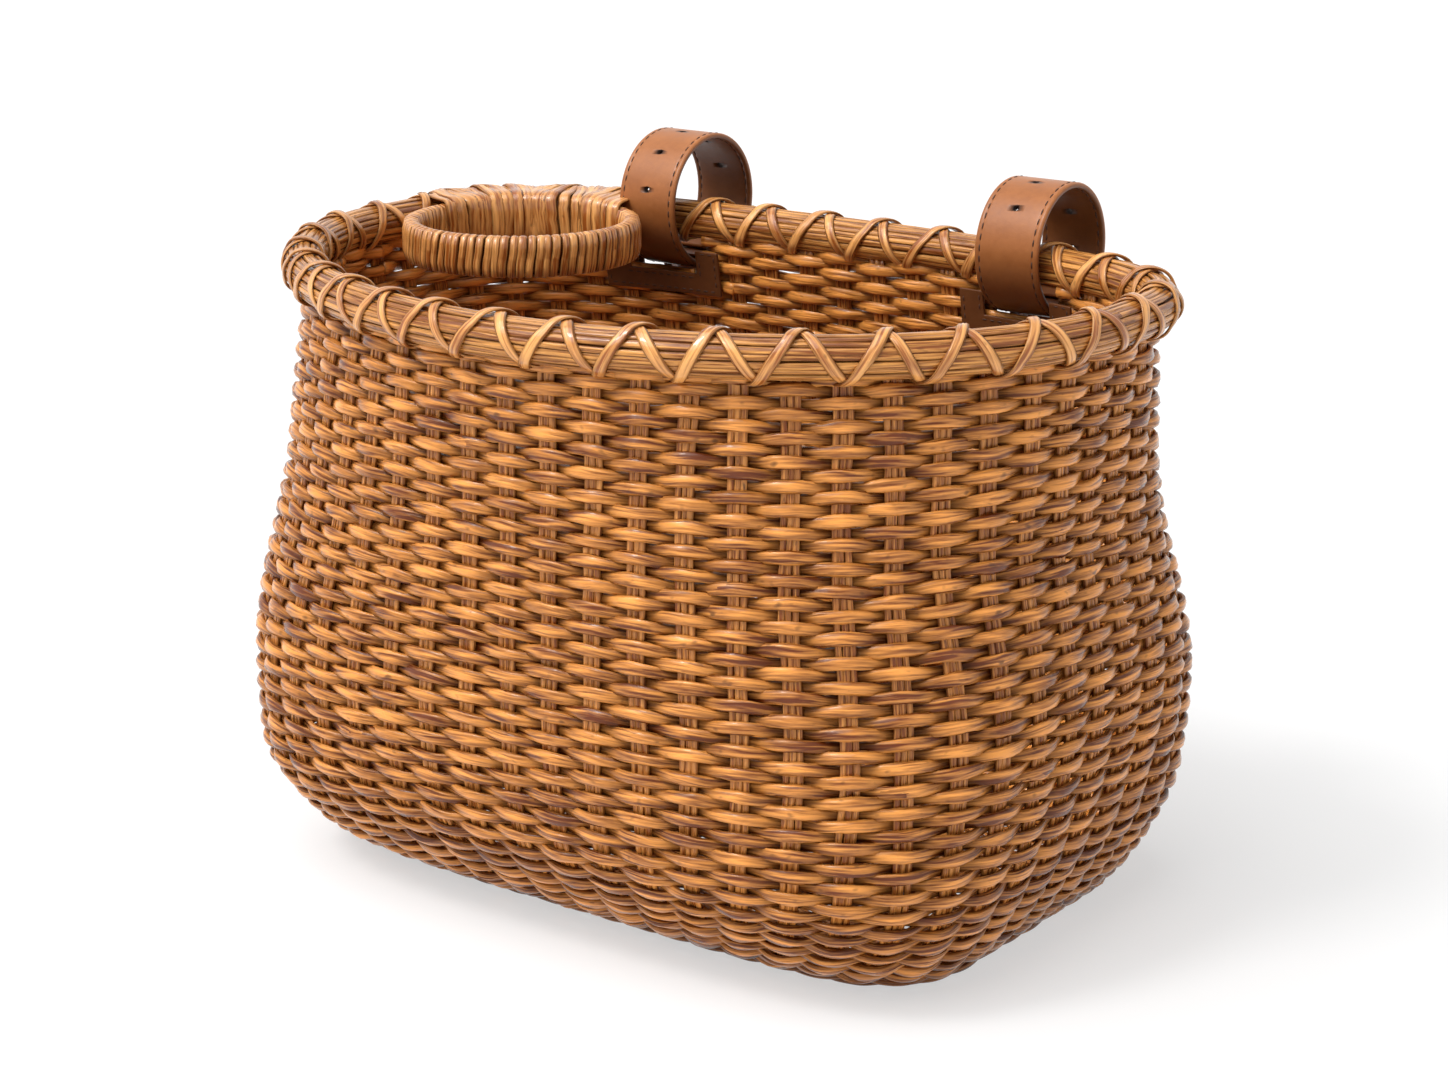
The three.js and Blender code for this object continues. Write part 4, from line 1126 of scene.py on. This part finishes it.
# %% Rim lacing
LACE_TURNS = 30
LACE_HALF_WIDE = 2.15
LACE_HALF_THICK = 0.62
LACE_STEPS = 44
LACE_END_SHARE = 0.003
LACE_OVER = 1.05
CROSSING_FROM = 0.45
LACE_ROLL = 16
LACE_ROLL_CHANGE = 8
LACE_SLIP = 1.1, 120
LACE_WIDTH_DRIFT = 0.07, 37
lace_stop = TIE_HALF_ANGLE + math.radians(2)
ends = nearest_share(on_ring(ring_facing + np.array([-lace_stop, lace_stop]), RING_WIDTH / 2, 0))
lace_from, lace_to = max(ends), min(ends) + 1
laces = []
for hand in (1, -1):
    t = np.arange(LACE_TURNS * LACE_STEPS + 1) / (LACE_TURNS * LACE_STEPS)
    along = t * rim_length
    slip = wander(along, *LACE_SLIP, 70 + hand) / rim_length
    span = lace_to - lace_from - 2 * LACE_END_SHARE
    share = lace_from + LACE_END_SHARE + t * span + slip
    wound = np.pi / 2 + hand * t * LACE_TURNS * 2 * np.pi
    crossing = np.clip((np.abs(np.sin(wound)) - CROSSING_FROM) / CROSSING_FROM, 0, 1)
    lift = even_rise(crossing) * (LACE_OVER if hand > 0 else 0)
    in_front = -on_rim(share)[1][:, 1]
    roll = np.radians(LACE_ROLL - LACE_ROLL_CHANGE * np.sin(wound))
    radius = BUNDLE_RADIUS + LACE_HALF_THICK + lift
    place, away = beside_rim(share, radius, wound + in_front * roll)
    wide = LACE_HALF_WIDE * (1 + wander(along, *LACE_WIDTH_DRIFT, 80 + hand))
    rings = strand_rings(place, away, LACE_HALF_THICK, wide, square=2.4, **cane)
    laces.append((rings, 0.04 + 0.03 * hand, outer_depth(CANE_POINTS, 0.45, 1)))
rim_lacing = put_strands("rim_lacing", laces, cane_look, "lacing_cane")
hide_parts(*[f"rim_lace_{a}_{k}" for a in "ab" for k in (1, 2)])
print("lacing pitch", round((lace_to - lace_from) * rim_length / LACE_TURNS, 1), "mm")

# %% [markdown]
# Smooth brown leather has a fine pebble and a slow change of tone, and is darker where its depth
# is low, as painted shade. One group makes these for the straps and the patches. Threads and brass
# are plain.


# %% Leather, thread and brass
# The scale and detail of the tint, the grain and the pebble.
LEATHER_NOISES = ((70, 3), (420, 2), (1900, 1))
GRAIN_SHARE = 0.5
TINT_OFFSET = 0.2
SMOOTHEST_LEATHER = 0.26
GRAIN_ROUGHNESS = 0.2
LEATHER_BUMP = 0.35
PEBBLE_HEIGHT = 0.0001


def leather_group():
    """Two noises tint the colour, a third adds the pebble's height, and a low depth darkens the
    colour as painted shade.
    """
    inputs = {"Light": "Color", "Dark": "Color", "Depth": "Float"}
    outputs = {"Color": "Color", "Roughness": "Float", "Height": "Float"}
    group, into, out = add_group("leather_grain", inputs, outputs)
    where = add_node(group, "TexCoord").outputs["Object"]
    noises = []
    for scale, detail in LEATHER_NOISES:
        noise_inputs = {"Scale": scale, "Detail": detail, "Vector": where}
        noises.append(add_node(group, "TexNoise", noise_inputs).outputs["Fac"])
    tint, grain, pebble = noises
    share = add_math(group, "ADD", tint, add_math(group, "MULTIPLY", grain, GRAIN_SHARE))
    share = add_math(group, "SUBTRACT", share, TINT_OFFSET, clamp=True)
    colour = mix_colour(group, share, into["Dark"], into["Light"])
    # Painted shade: the lower the depth, the more the colour goes to a dark brown.
    painted_leather_shade = add_math(group, "SUBTRACT", 1.0, into["Depth"], clamp=True)
    rough = add_math(group, "MULTIPLY", grain, GRAIN_ROUGHNESS)
    fill(group, out, {
        "Color": mix_colour(group, painted_leather_shade, colour, paint(50, 22, 8)),
        "Roughness": add_math(group, "ADD", rough, SMOOTHEST_LEATHER),
        "Height": add_math(group, "ADD", pebble, grain),
    })
    return group


LEATHER = leather_group()


def leather_look(name, light, dark):
    """A leather finish from the group."""
    look, tree, shader = new_look(name, {"Specular IOR Level": 0.32})
    inputs = {"Light": light, "Dark": dark, "Depth": mesh_value(tree, "depth")}
    use_group(tree, shader, LEATHER, inputs, LEATHER_BUMP, PEBBLE_HEIGHT)
    return look


def plain_look(name, colour, roughness, metallic):
    """A finish of one colour."""
    inputs = {"Base Color": colour, "Roughness": roughness, "Metallic": metallic}
    return new_look(name, inputs)[0]


strap_look = leather_look("strap_leather", paint(178, 112, 62), paint(140, 82, 42))
patch_look = leather_look("patch_leather", paint(112, 66, 34), paint(80, 44, 20))
edge_look = leather_look("strap_edge", paint(120, 68, 34), paint(82, 44, 20))
hole_look = plain_look("hole_wall", paint(44, 22, 10), 0.8, 0)
thread_look = plain_look("stitch_thread", paint(62, 32, 16), 0.7, 0)
brass_look = plain_look("buckle_brass", paint(176, 146, 92), 0.32, 1)

# %% [markdown]
# A strap is one band: a fold round the buckle's heel bar, a full turn, a small step out over the
# bar, and the tail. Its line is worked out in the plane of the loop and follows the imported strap.
# Across, the band has rounded edges and a shallow groove on each side, where the stitches lie.

# %% The strap's line
STRAP_WIDTH = 28.0
STRAP_THICKNESS = 2.4
LAYER_STEP = 2.7
BAR_IN_FOLD = 2.8
HEEL_ANGLE = 54
FRONT_BAR_ANGLE = 14
TAIL_END = 450
STEP_UP_FROM = 390
STEP_UP_TO = 411
FOLD_LENGTH = 6.5
FOLD_GAP = 0.1
WIRE_RADIUS = 1.3
LOOP_RADII = {"left": 27.0, "right": 25.2}
joint_places = {joint["name"]: joint["pos_m"] for joint in frame["record"]["behaviour"]["joints"]}


def loop_centre(side):
    """The middle of a strap's loop, from its joint."""
    return np.array(joint_places[f"strap_{side}_draw_round"]) / MM


def on_loop(radius, angle):
    """A place in the loop's plane: behind and above its middle, with angles in degrees that start
    at the back and run down."""
    turn = np.radians(angle)
    return np.stack([radius * np.cos(turn), -radius * np.sin(turn)], -1)


def smooth_step(value, low, high):
    """0 below low, 1 above high, and an even ease between them."""
    return even_rise(np.clip((value - low) / (high - low), 0, 1))


def strap_line(radius):
    """The band's middle: the fold's loose end, the bend round the bar and the long turn."""
    fold = np.degrees(FOLD_LENGTH / radius)
    t = np.linspace(0, 1, 8)
    shallow = LAYER_STEP + FOLD_GAP
    deep = shallow + (2 * BAR_IN_FOLD - shallow) * np.minimum(1, 1.3 * t)
    loose = on_loop(radius - deep, HEEL_ANGLE + fold * (1 - t))
    bend = np.radians(np.linspace(-90, 90, 14)[1:-1])[:, None]
    out, back = on_loop(1, HEEL_ANGLE), on_loop(1, HEEL_ANGLE - 90)
    bar = on_loop(radius - BAR_IN_FOLD, HEEL_ANGLE)
    around = bar + BAR_IN_FOLD * (np.sin(bend) * out + np.cos(bend) * back)
    angle = np.linspace(HEEL_ANGLE, TAIL_END, 260)
    lift = LAYER_STEP * smooth_step(angle, STEP_UP_FROM, STEP_UP_TO)
    return np.concatenate([loose, around, on_loop(radius + lift, angle)])


def in_space(side, flat, x=0.0):
    """Loop plane places as places in space, at x across the strap."""
    centre = loop_centre(side)
    across = np.broadcast_to(np.asarray(x, float), flat.shape[:-1])
    return centre + np.stack([across, flat[..., 0], flat[..., 1]], -1)


def outward_of(flat):
    """The direction a quarter turn from a flat line's run, which faces away from the loop."""
    run = unit(np.gradient(flat, axis=0))
    return np.stack([-run[:, 1], run[:, 0]], -1)


# %% The straps
GROOVE_IN = 2.3
GROOVE_DEPTH = 0.2
GROOVE_HALF = 0.3
ROLL_IN = 1.0
ROLL_HEIGHT = 0.16
ROLL_HALF = 0.45
HOLE_RADIUS = 1.25
LONG_HOLE = 3.6, 1.5
PEG_HALF = 3.6
HOLE_PITCHES = {"left": 16.6, "right": 16.1}
HOLES = {"left": 7, "right": 6}
USED_HOLE = 360 + HEEL_ANGLE - 8
TIP_LENGTH = 9.0
STITCHES_FROM = 22
STITCH_PITCH = 4.1
STITCH_LENGTH = 2.7
THREAD_HALVES = 0.28, 0.3
STITCH_SINK = np.array([0.35, 0, -0.05, 0, 0.35])
ACROSS = [0, 4, 8, 10.8, 11.2, 11.45, 11.7, 11.95, 12.2, 12.6, 13.1, 13.5, 13.8, 13.95]
across_all = np.concatenate([-np.array(ACROSS[:0:-1]), ACROSS])


def band_section():
    """Half thickness across the band: T·(1 - |x/W|^14)^(1/4), less a small dip at the stitch line,
    plus a small roll along the edge."""
    share = np.abs(across_all) / (STRAP_WIDTH / 2)
    thick = STRAP_THICKNESS / 2 * (1 - share**14) ** (1 / 4)
    from_edge = STRAP_WIDTH / 2 - np.abs(across_all)
    dip = GROOVE_DEPTH * np.exp(-(((from_edge - GROOVE_IN) / GROOVE_HALF) ** 2))
    roll = ROLL_HEIGHT * np.exp(-(((from_edge - ROLL_IN) / ROLL_HALF) ** 2))
    return thick - dip + roll


def strap_rings(side):
    """The band's rings: over its outer face from left to right and back under its inner face."""
    flat = strap_line(LOOP_RADII[side])
    away = outward_of(flat)
    along = run_along(flat)
    from_tip = along[-1] - along
    tip = np.sqrt(1 - np.clip(1 - from_tip / TIP_LENGTH, 0, 0.94) ** 2)
    thick = band_section()
    x = np.concatenate([across_all, across_all[::-1]])
    lift = np.concatenate([thick, -thick[::-1]])
    place = flat[:, None, :] + away[:, None, :] * lift[None, :, None]
    return in_space(side, place, x[None, :] * tip[:, None])


def hole_cutter(side):
    """Round pegs through the strap, the first of them long for the prong."""
    radius = LOOP_RADII[side]
    step = np.degrees(HOLE_PITCHES[side] / radius)
    pegs = []
    for k in range(HOLES[side]):
        angle = USED_HOLE - k * step
        at = radius + (LAYER_STEP if k == 0 else 0)
        place = in_space(side, on_loop(at + np.linspace(-PEG_HALF, PEG_HALF, 3), angle))
        out = np.broadcast_to([0, *on_loop(1, angle - 90)], place.shape)
        across = np.broadcast_to([1.0, 0, 0], place.shape)
        half_long, half_wide = LONG_HOLE if k == 0 else (HOLE_RADIUS, HOLE_RADIUS)
        pegs.append((oval_rings(place, out, across, half_long, half_wide, points=24), 0.0, 1.0))
    return put_strands(f"hole_cutter_{side}", pegs, hole_look, None)


def cut_holes(made, cutter):
    """Cuts the pegs out of the band for good, and takes the pegs away."""
    cut = made.modifiers.new("holes", "BOOLEAN")
    cut.object = cutter
    cut.operation = "DIFFERENCE"
    cut.solver = "EXACT"
    cut.material_mode = "TRANSFER"
    graph = bpy.context.evaluated_depsgraph_get()
    finished = bpy.data.meshes.new_from_object(made.evaluated_get(graph))
    made.modifiers.clear()
    made.data = finished
    bpy.data.objects.remove(cutter)


def stitches(side):
    """Short round threads in both grooves, on the outer and the inner face."""
    flat = strap_line(LOOP_RADII[side])
    away = outward_of(flat)
    along = run_along(flat)
    starts = np.arange(STITCHES_FROM, along[-1] - TIP_LENGTH - 3, STITCH_PITCH)
    found = []
    for face, edge, start in itertools.product((1, -1), (1, -1), starts):
        want = start + np.linspace(0, STITCH_LENGTH, 5)
        up_off = read_run(want, along, away)
        off = face * (STRAP_THICKNESS / 2 - 0.12 - STITCH_SINK)
        at = read_run(want, along, flat) + up_off * off[:, None]
        place = in_space(side, at, edge * (STRAP_WIDTH / 2 - GROOVE_IN))
        outward = in_space(side, up_off) - loop_centre(side)
        found.append((strand_rings(place, outward, *THREAD_HALVES, points=6), 0.0, 1.0))
    return found


# Painted shade on the band: its inner face is darker, and so is its lower part inside the basket.
DARK_BELOW = 6
DARK_OVER = 24
DARK_INSIDE = 10
DARKENED = 0.62
band_depth = np.repeat([1.0, 0.35], len(across_all))[None, :]


def painted_shade_depth(side, rings):
    """The faces' depth, less where the band goes down inside the basket, which paints shade there.
    """
    _, y, z = (rings - loop_centre(side)).transpose(2, 0, 1)
    lower = np.clip((DARK_BELOW - z) / DARK_OVER, 0, 1) * np.clip(-y / DARK_INSIDE, 0, 1)
    return band_depth * (1 - DARKENED * lower)


for side in ("left", "right"):
    body = f"strap_{side}"
    rings = strap_rings(side)
    strand = rings, 0.0, painted_shade_depth(side, rings)
    band = put_strands(f"strap_band_{side}", [strand], strap_look, "strap_leather", body=body)
    cut_holes(band, hole_cutter(side))
    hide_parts(f"strap_{side}")
    threads = stitches(side)
    put_strands(f"strap_stitches_{side}", threads, thread_look, "strap_leather", body=body)

# %% [markdown]
# The buckle is a bent wire frame whose heel bar lies in the strap's fold, with a prong that turns
# on the same bar. A leather keeper holds the tail down.


# %% Buckles and keepers
SLEEVE_RADIUS = 2.05
SLEEVE_HALF_THICK = 0.45
SLEEVE_HALF_WIDE = 1.7
PIN_RADIUS = 0.8
KEEPER_ANGLE = 78
KEEPER_HALF_THICK = 0.62
KEEPER_HALF_WIDE = 2.5
KEEPER_OFF = 0.65
CLEARANCE = 0.3


def corner_loop(half_x, low, high, corner, steps=6):
    """A closed oblong line with round corners, as places across and along."""
    turns = np.radians(np.concatenate([np.linspace(q * 90, q * 90 + 90, steps) for q in range(4)]))
    sign_x = np.repeat([1, -1, -1, 1], steps)
    at_high = np.repeat([1, 1, 0, 0], steps)
    x = sign_x * (half_x - corner) + corner * np.cos(turns)
    s = np.where(at_high == 1, high - corner, low + corner) + corner * np.sin(turns)
    return x, s


def fill_between(points, spacing):
    """A closed line with more points, about a spacing apart."""
    whole = np.concatenate([points, points[:1]])
    along = run_along(whole)
    return read_run(np.arange(0, along[-1], spacing), along, whole)


def buckle_frame(side):
    """The wire frame: heel bar, front bar and two side bars in one bend."""
    radius = LOOP_RADII[side]
    heel = on_loop(radius - BAR_IN_FOLD, HEEL_ANGLE)
    front = on_loop(radius + STRAP_THICKNESS / 2 + CLEARANCE + WIRE_RADIUS, FRONT_BAR_ANGLE)
    run = unit(front - heel)
    half_x = STRAP_WIDTH / 2 + 2 * CLEARANCE + WIRE_RADIUS
    x, s = corner_loop(half_x, 0, np.linalg.norm(front - heel), 2.4)
    line = fill_between(in_space(side, heel + s[:, None] * run, x), 0.8)
    normal = np.array([0, -run[1], run[0]])
    return strand_rings(line, normal, WIRE_RADIUS, WIRE_RADIUS, closed=True, points=14)


def prong(side):
    """The prong's sleeve, wound round the heel bar, and its pin through the hole."""
    radius = LOOP_RADII[side]
    heel = on_loop(radius - BAR_IN_FOLD, HEEL_ANGLE)
    turn = np.arange(28) / 28 * 2 * np.pi
    away = np.stack([np.cos(turn), np.sin(turn)], -1)
    line = in_space(side, heel + SLEEVE_RADIUS * away)
    outward = np.stack([0 * turn, *away.T], -1)
    halves = SLEEVE_HALF_THICK, SLEEVE_HALF_WIDE
    sleeve = strand_rings(line, outward, *halves, closed=True, points=12, square=4)
    over = radius + STRAP_THICKNESS / 2 + 2 * CLEARANCE + 2 * WIRE_RADIUS + PIN_RADIUS
    top = radius + LAYER_STEP + STRAP_THICKNESS / 2
    knots = [
        (radius - BAR_IN_FOLD + SLEEVE_RADIUS, HEEL_ANGLE - 1),
        (top - 0.4, HEEL_ANGLE - 8.5),
        (top + 1.5, HEEL_ANGLE - 13),
        (over + 0.5, (HEEL_ANGLE + FRONT_BAR_ANGLE) / 2),
        (over + 0.1, FRONT_BAR_ANGLE),
        (over - 0.2, FRONT_BAR_ANGLE - 4),
    ]
    flat = np.stack([on_loop(*knot) for knot in knots])
    fine = np.linspace(0, 5, 36)
    smooth = np.stack([smooth_through(np.arange(6), values, fine) for values in flat.T], -1)
    thin = PIN_RADIUS * np.sqrt(np.clip((5.05 - fine) / 0.5, 0.05, 1))
    across = np.array([1.0, 0, 0])
    return sleeve, strand_rings(in_space(side, smooth), across, thin, thin, points=12)


def keeper(side):
    """The leather loop round the tail and the strap under it."""
    radius = LOOP_RADII[side]
    half = STRAP_WIDTH / 2 + CLEARANCE + KEEPER_OFF
    low = radius - STRAP_THICKNESS / 2 - 1.5 * CLEARANCE - KEEPER_OFF
    high = radius + LAYER_STEP + STRAP_THICKNESS / 2 + CLEARANCE + KEEPER_OFF
    x, s = corner_loop(half, low, high, 1.3)
    line = fill_between(in_space(side, s[:, None] * on_loop(1, KEEPER_ANGLE), x), 0.9)
    along_strap = np.array([0, *on_loop(1, KEEPER_ANGLE - 90)])
    halves = KEEPER_HALF_WIDE, KEEPER_HALF_THICK
    return strand_rings(line, along_strap, *halves, closed=True, points=16, square=5)


for side in ("left", "right"):
    sleeve, pin = prong(side)
    on_frame, on_prong, on_keeper = f"buckle_frame_{side}", f"buckle_prong_{side}", f"keeper_{side}"
    brass = {"look": brass_look, "slot": "buckle_brass"}
    leather = {"look": edge_look, "slot": "strap_leather"}
    wire = [(buckle_frame(side), 0, 1)]
    frame_wire = put_strands(f"buckle_wire_{side}", wire, **brass, closed=True, body=on_frame)
    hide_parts(f"buckle_frame_{side}")
    put_strands(f"prong_sleeve_{side}", [(sleeve, 0, 1)], **brass, closed=True, body=on_prong)
    pin_made = put_strands(f"prong_pin_{side}", [(pin, 0, 1)], **brass, body=on_prong)
    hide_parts(f"buckle_prong_{side}")
    loop = [(keeper(side), 0, 1)]
    keeper_made = put_strands(f"keeper_loop_{side}", loop, **leather, closed=True, body=on_keeper)
    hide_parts(f"keeper_{side}")

# %% [markdown]
# A thin leather patch lines each slot inside the wall, and a second one faces it outside. Each
# follows the wall's curve and is stitched down round its edge.

# %% Slot patches
PATCH_THICKNESS = 1.3
PATCH_HALF = SLOT_HALF + 11.0
PATCH_LOW = SLOT_FLOOR - 9.0
PATCH_HIGH = WALL_TOP - 0.3
PATCH_OFF = 0.5
PATCH_EDGE = 0.35
SEAM_IN = 1.8
SEAM_PITCH = 3.6
SEAM_STITCH = 2.3
SEAM_SINK = np.array([0.3, 0, 0, 0.3])
SEAM_HALVES = 0.25, 0.28


def wall_back(x, z, inwards):
    """How far back the wall stands at a place, from its superellipse turned round."""
    share = z / WALL_TOP
    half = smooth_through(SHARES, HALF_LENGTHS, share) - inwards
    back = smooth_through(SHARES, BACKS, share) - inwards
    power = smooth_through(ROUND_SHARES, BACK_ROUNDS, share)
    return other_way(x, half, back, power)


def grid_lines(ends, counts):
    """Lines between each end and the next, as many as its count, with no line twice."""
    spans = [np.linspace(*span) for span in zip(ends, ends[1:], counts)]
    return np.unique(np.concatenate(spans).round(4))


def patch(side, inwards, name):
    """The sheet: a grid over the patch with the slot's cells left out, given a thickness. Cells
    that miss a neighbour get a wall there."""
    middle = STRAP_PLACES[side]
    xs = grid_lines([-PATCH_HALF, -SLOT_HALF, SLOT_HALF, PATCH_HALF], [9, 17, 9])
    zs = grid_lines([PATCH_LOW, SLOT_FLOOR, PATCH_HIGH], [8, 9])
    x, z = np.meshgrid(xs, zs, indexing="ij")
    sheets = []
    for face in (inwards, inwards + PATCH_THICKNESS):
        y = wall_back(x + middle, z, face)
        sheets.append(np.stack([x + middle, y, z], -1).reshape(-1, 3))
    corners = np.concatenate(sheets)
    rows, columns = len(xs), len(zs)
    behind = rows * columns
    i, j = np.meshgrid(np.arange(rows - 1), np.arange(columns - 1), indexing="ij")
    mid_x = (xs[:-1] + xs[1:])[:, None] / 2
    mid_z = (zs[:-1] + zs[1:])[None, :] / 2
    kept = ~((np.abs(mid_x) < SLOT_HALF) & (mid_z > SLOT_FLOOR))
    a = i * columns + j
    face_corners = np.stack([a, a + columns, a + columns + 1, a + 1], -1)
    quads = [face_corners[kept], face_corners[kept][:, ::-1] + behind]
    padded = np.pad(kept, 1)
    for di, dj, p, q in ((-1, 0, 3, 0), (1, 0, 1, 2), (0, -1, 0, 1), (0, 1, 2, 3)):
        neighbour = padded[1 + di : rows + di, 1 + dj : columns + dj]
        edge = kept & ~neighbour
        first, second = face_corners[edge][:, p], face_corners[edge][:, q]
        quads.append(np.stack([second, first, first + behind, second + behind], -1))
    quads = np.concatenate(quads)
    used = np.unique(quads)
    lookup = np.zeros(len(corners), int)
    lookup[used] = np.arange(len(used))
    values = {"depth": np.ones(len(used))}
    made = put_mesh(
        name, corners[used], lookup[quads], patch_look, "basket", values=values
    )
    soft = made.modifiers.new("soft_edge", "BEVEL")
    soft.width = PATCH_EDGE * MM
    soft.segments = 3
    soft.limit_method = "ANGLE"
    return made


def patch_stitches(side, offset):
    """Threads round the patch, a little inside its edge and round its slot."""
    middle = STRAP_PLACES[side]
    outer = PATCH_HALF - SEAM_IN
    inner = SLOT_HALF + SEAM_IN
    top, low, sill = PATCH_HIGH - 1, PATCH_LOW + SEAM_IN, SLOT_FLOOR - SEAM_IN
    path = [(-inner, top), (-inner, sill), (inner, sill), (inner, top)]
    path += [(outer, top), (outer, low), (-outer, low), (-outer, top)]
    found = []
    for (x0, z0), (x1, z1) in zip(path[:-1], path[1:]):
        length = math.hypot(x1 - x0, z1 - z0)
        for start in np.arange(0.8, length - 2.5, SEAM_PITCH):
            t = (start + np.linspace(0, SEAM_STITCH, 4)) / length
            x, z = middle + x0 + (x1 - x0) * t, z0 + (z1 - z0) * t
            sunk = offset - SEAM_SINK * np.sign(offset)
            place = np.stack([x, wall_back(x, z, sunk), z], -1)
            rings = strand_rings(place, np.array([0, 1.0, 0]), *SEAM_HALVES, points=6)
            found.append((rings, 0.0, 1.0))
    return found


for side in ("left", "right"):
    inside = patch(side, WALL_THICKNESS + PATCH_OFF, f"patch_inner_{side}")
    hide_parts(f"slot_patch_{side}_inner")
    outside = patch(side, -PATCH_OFF - PATCH_THICKNESS, f"patch_outer_{side}")
    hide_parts(f"slot_patch_{side}_outer")
    threads = patch_stitches(side, WALL_THICKNESS + 0.55 + PATCH_THICKNESS)
    threads += patch_stitches(side, -0.55 - PATCH_THICKNESS)
    put_strands(f"patch_stitches_{side}", threads, thread_look, "patch_leather")
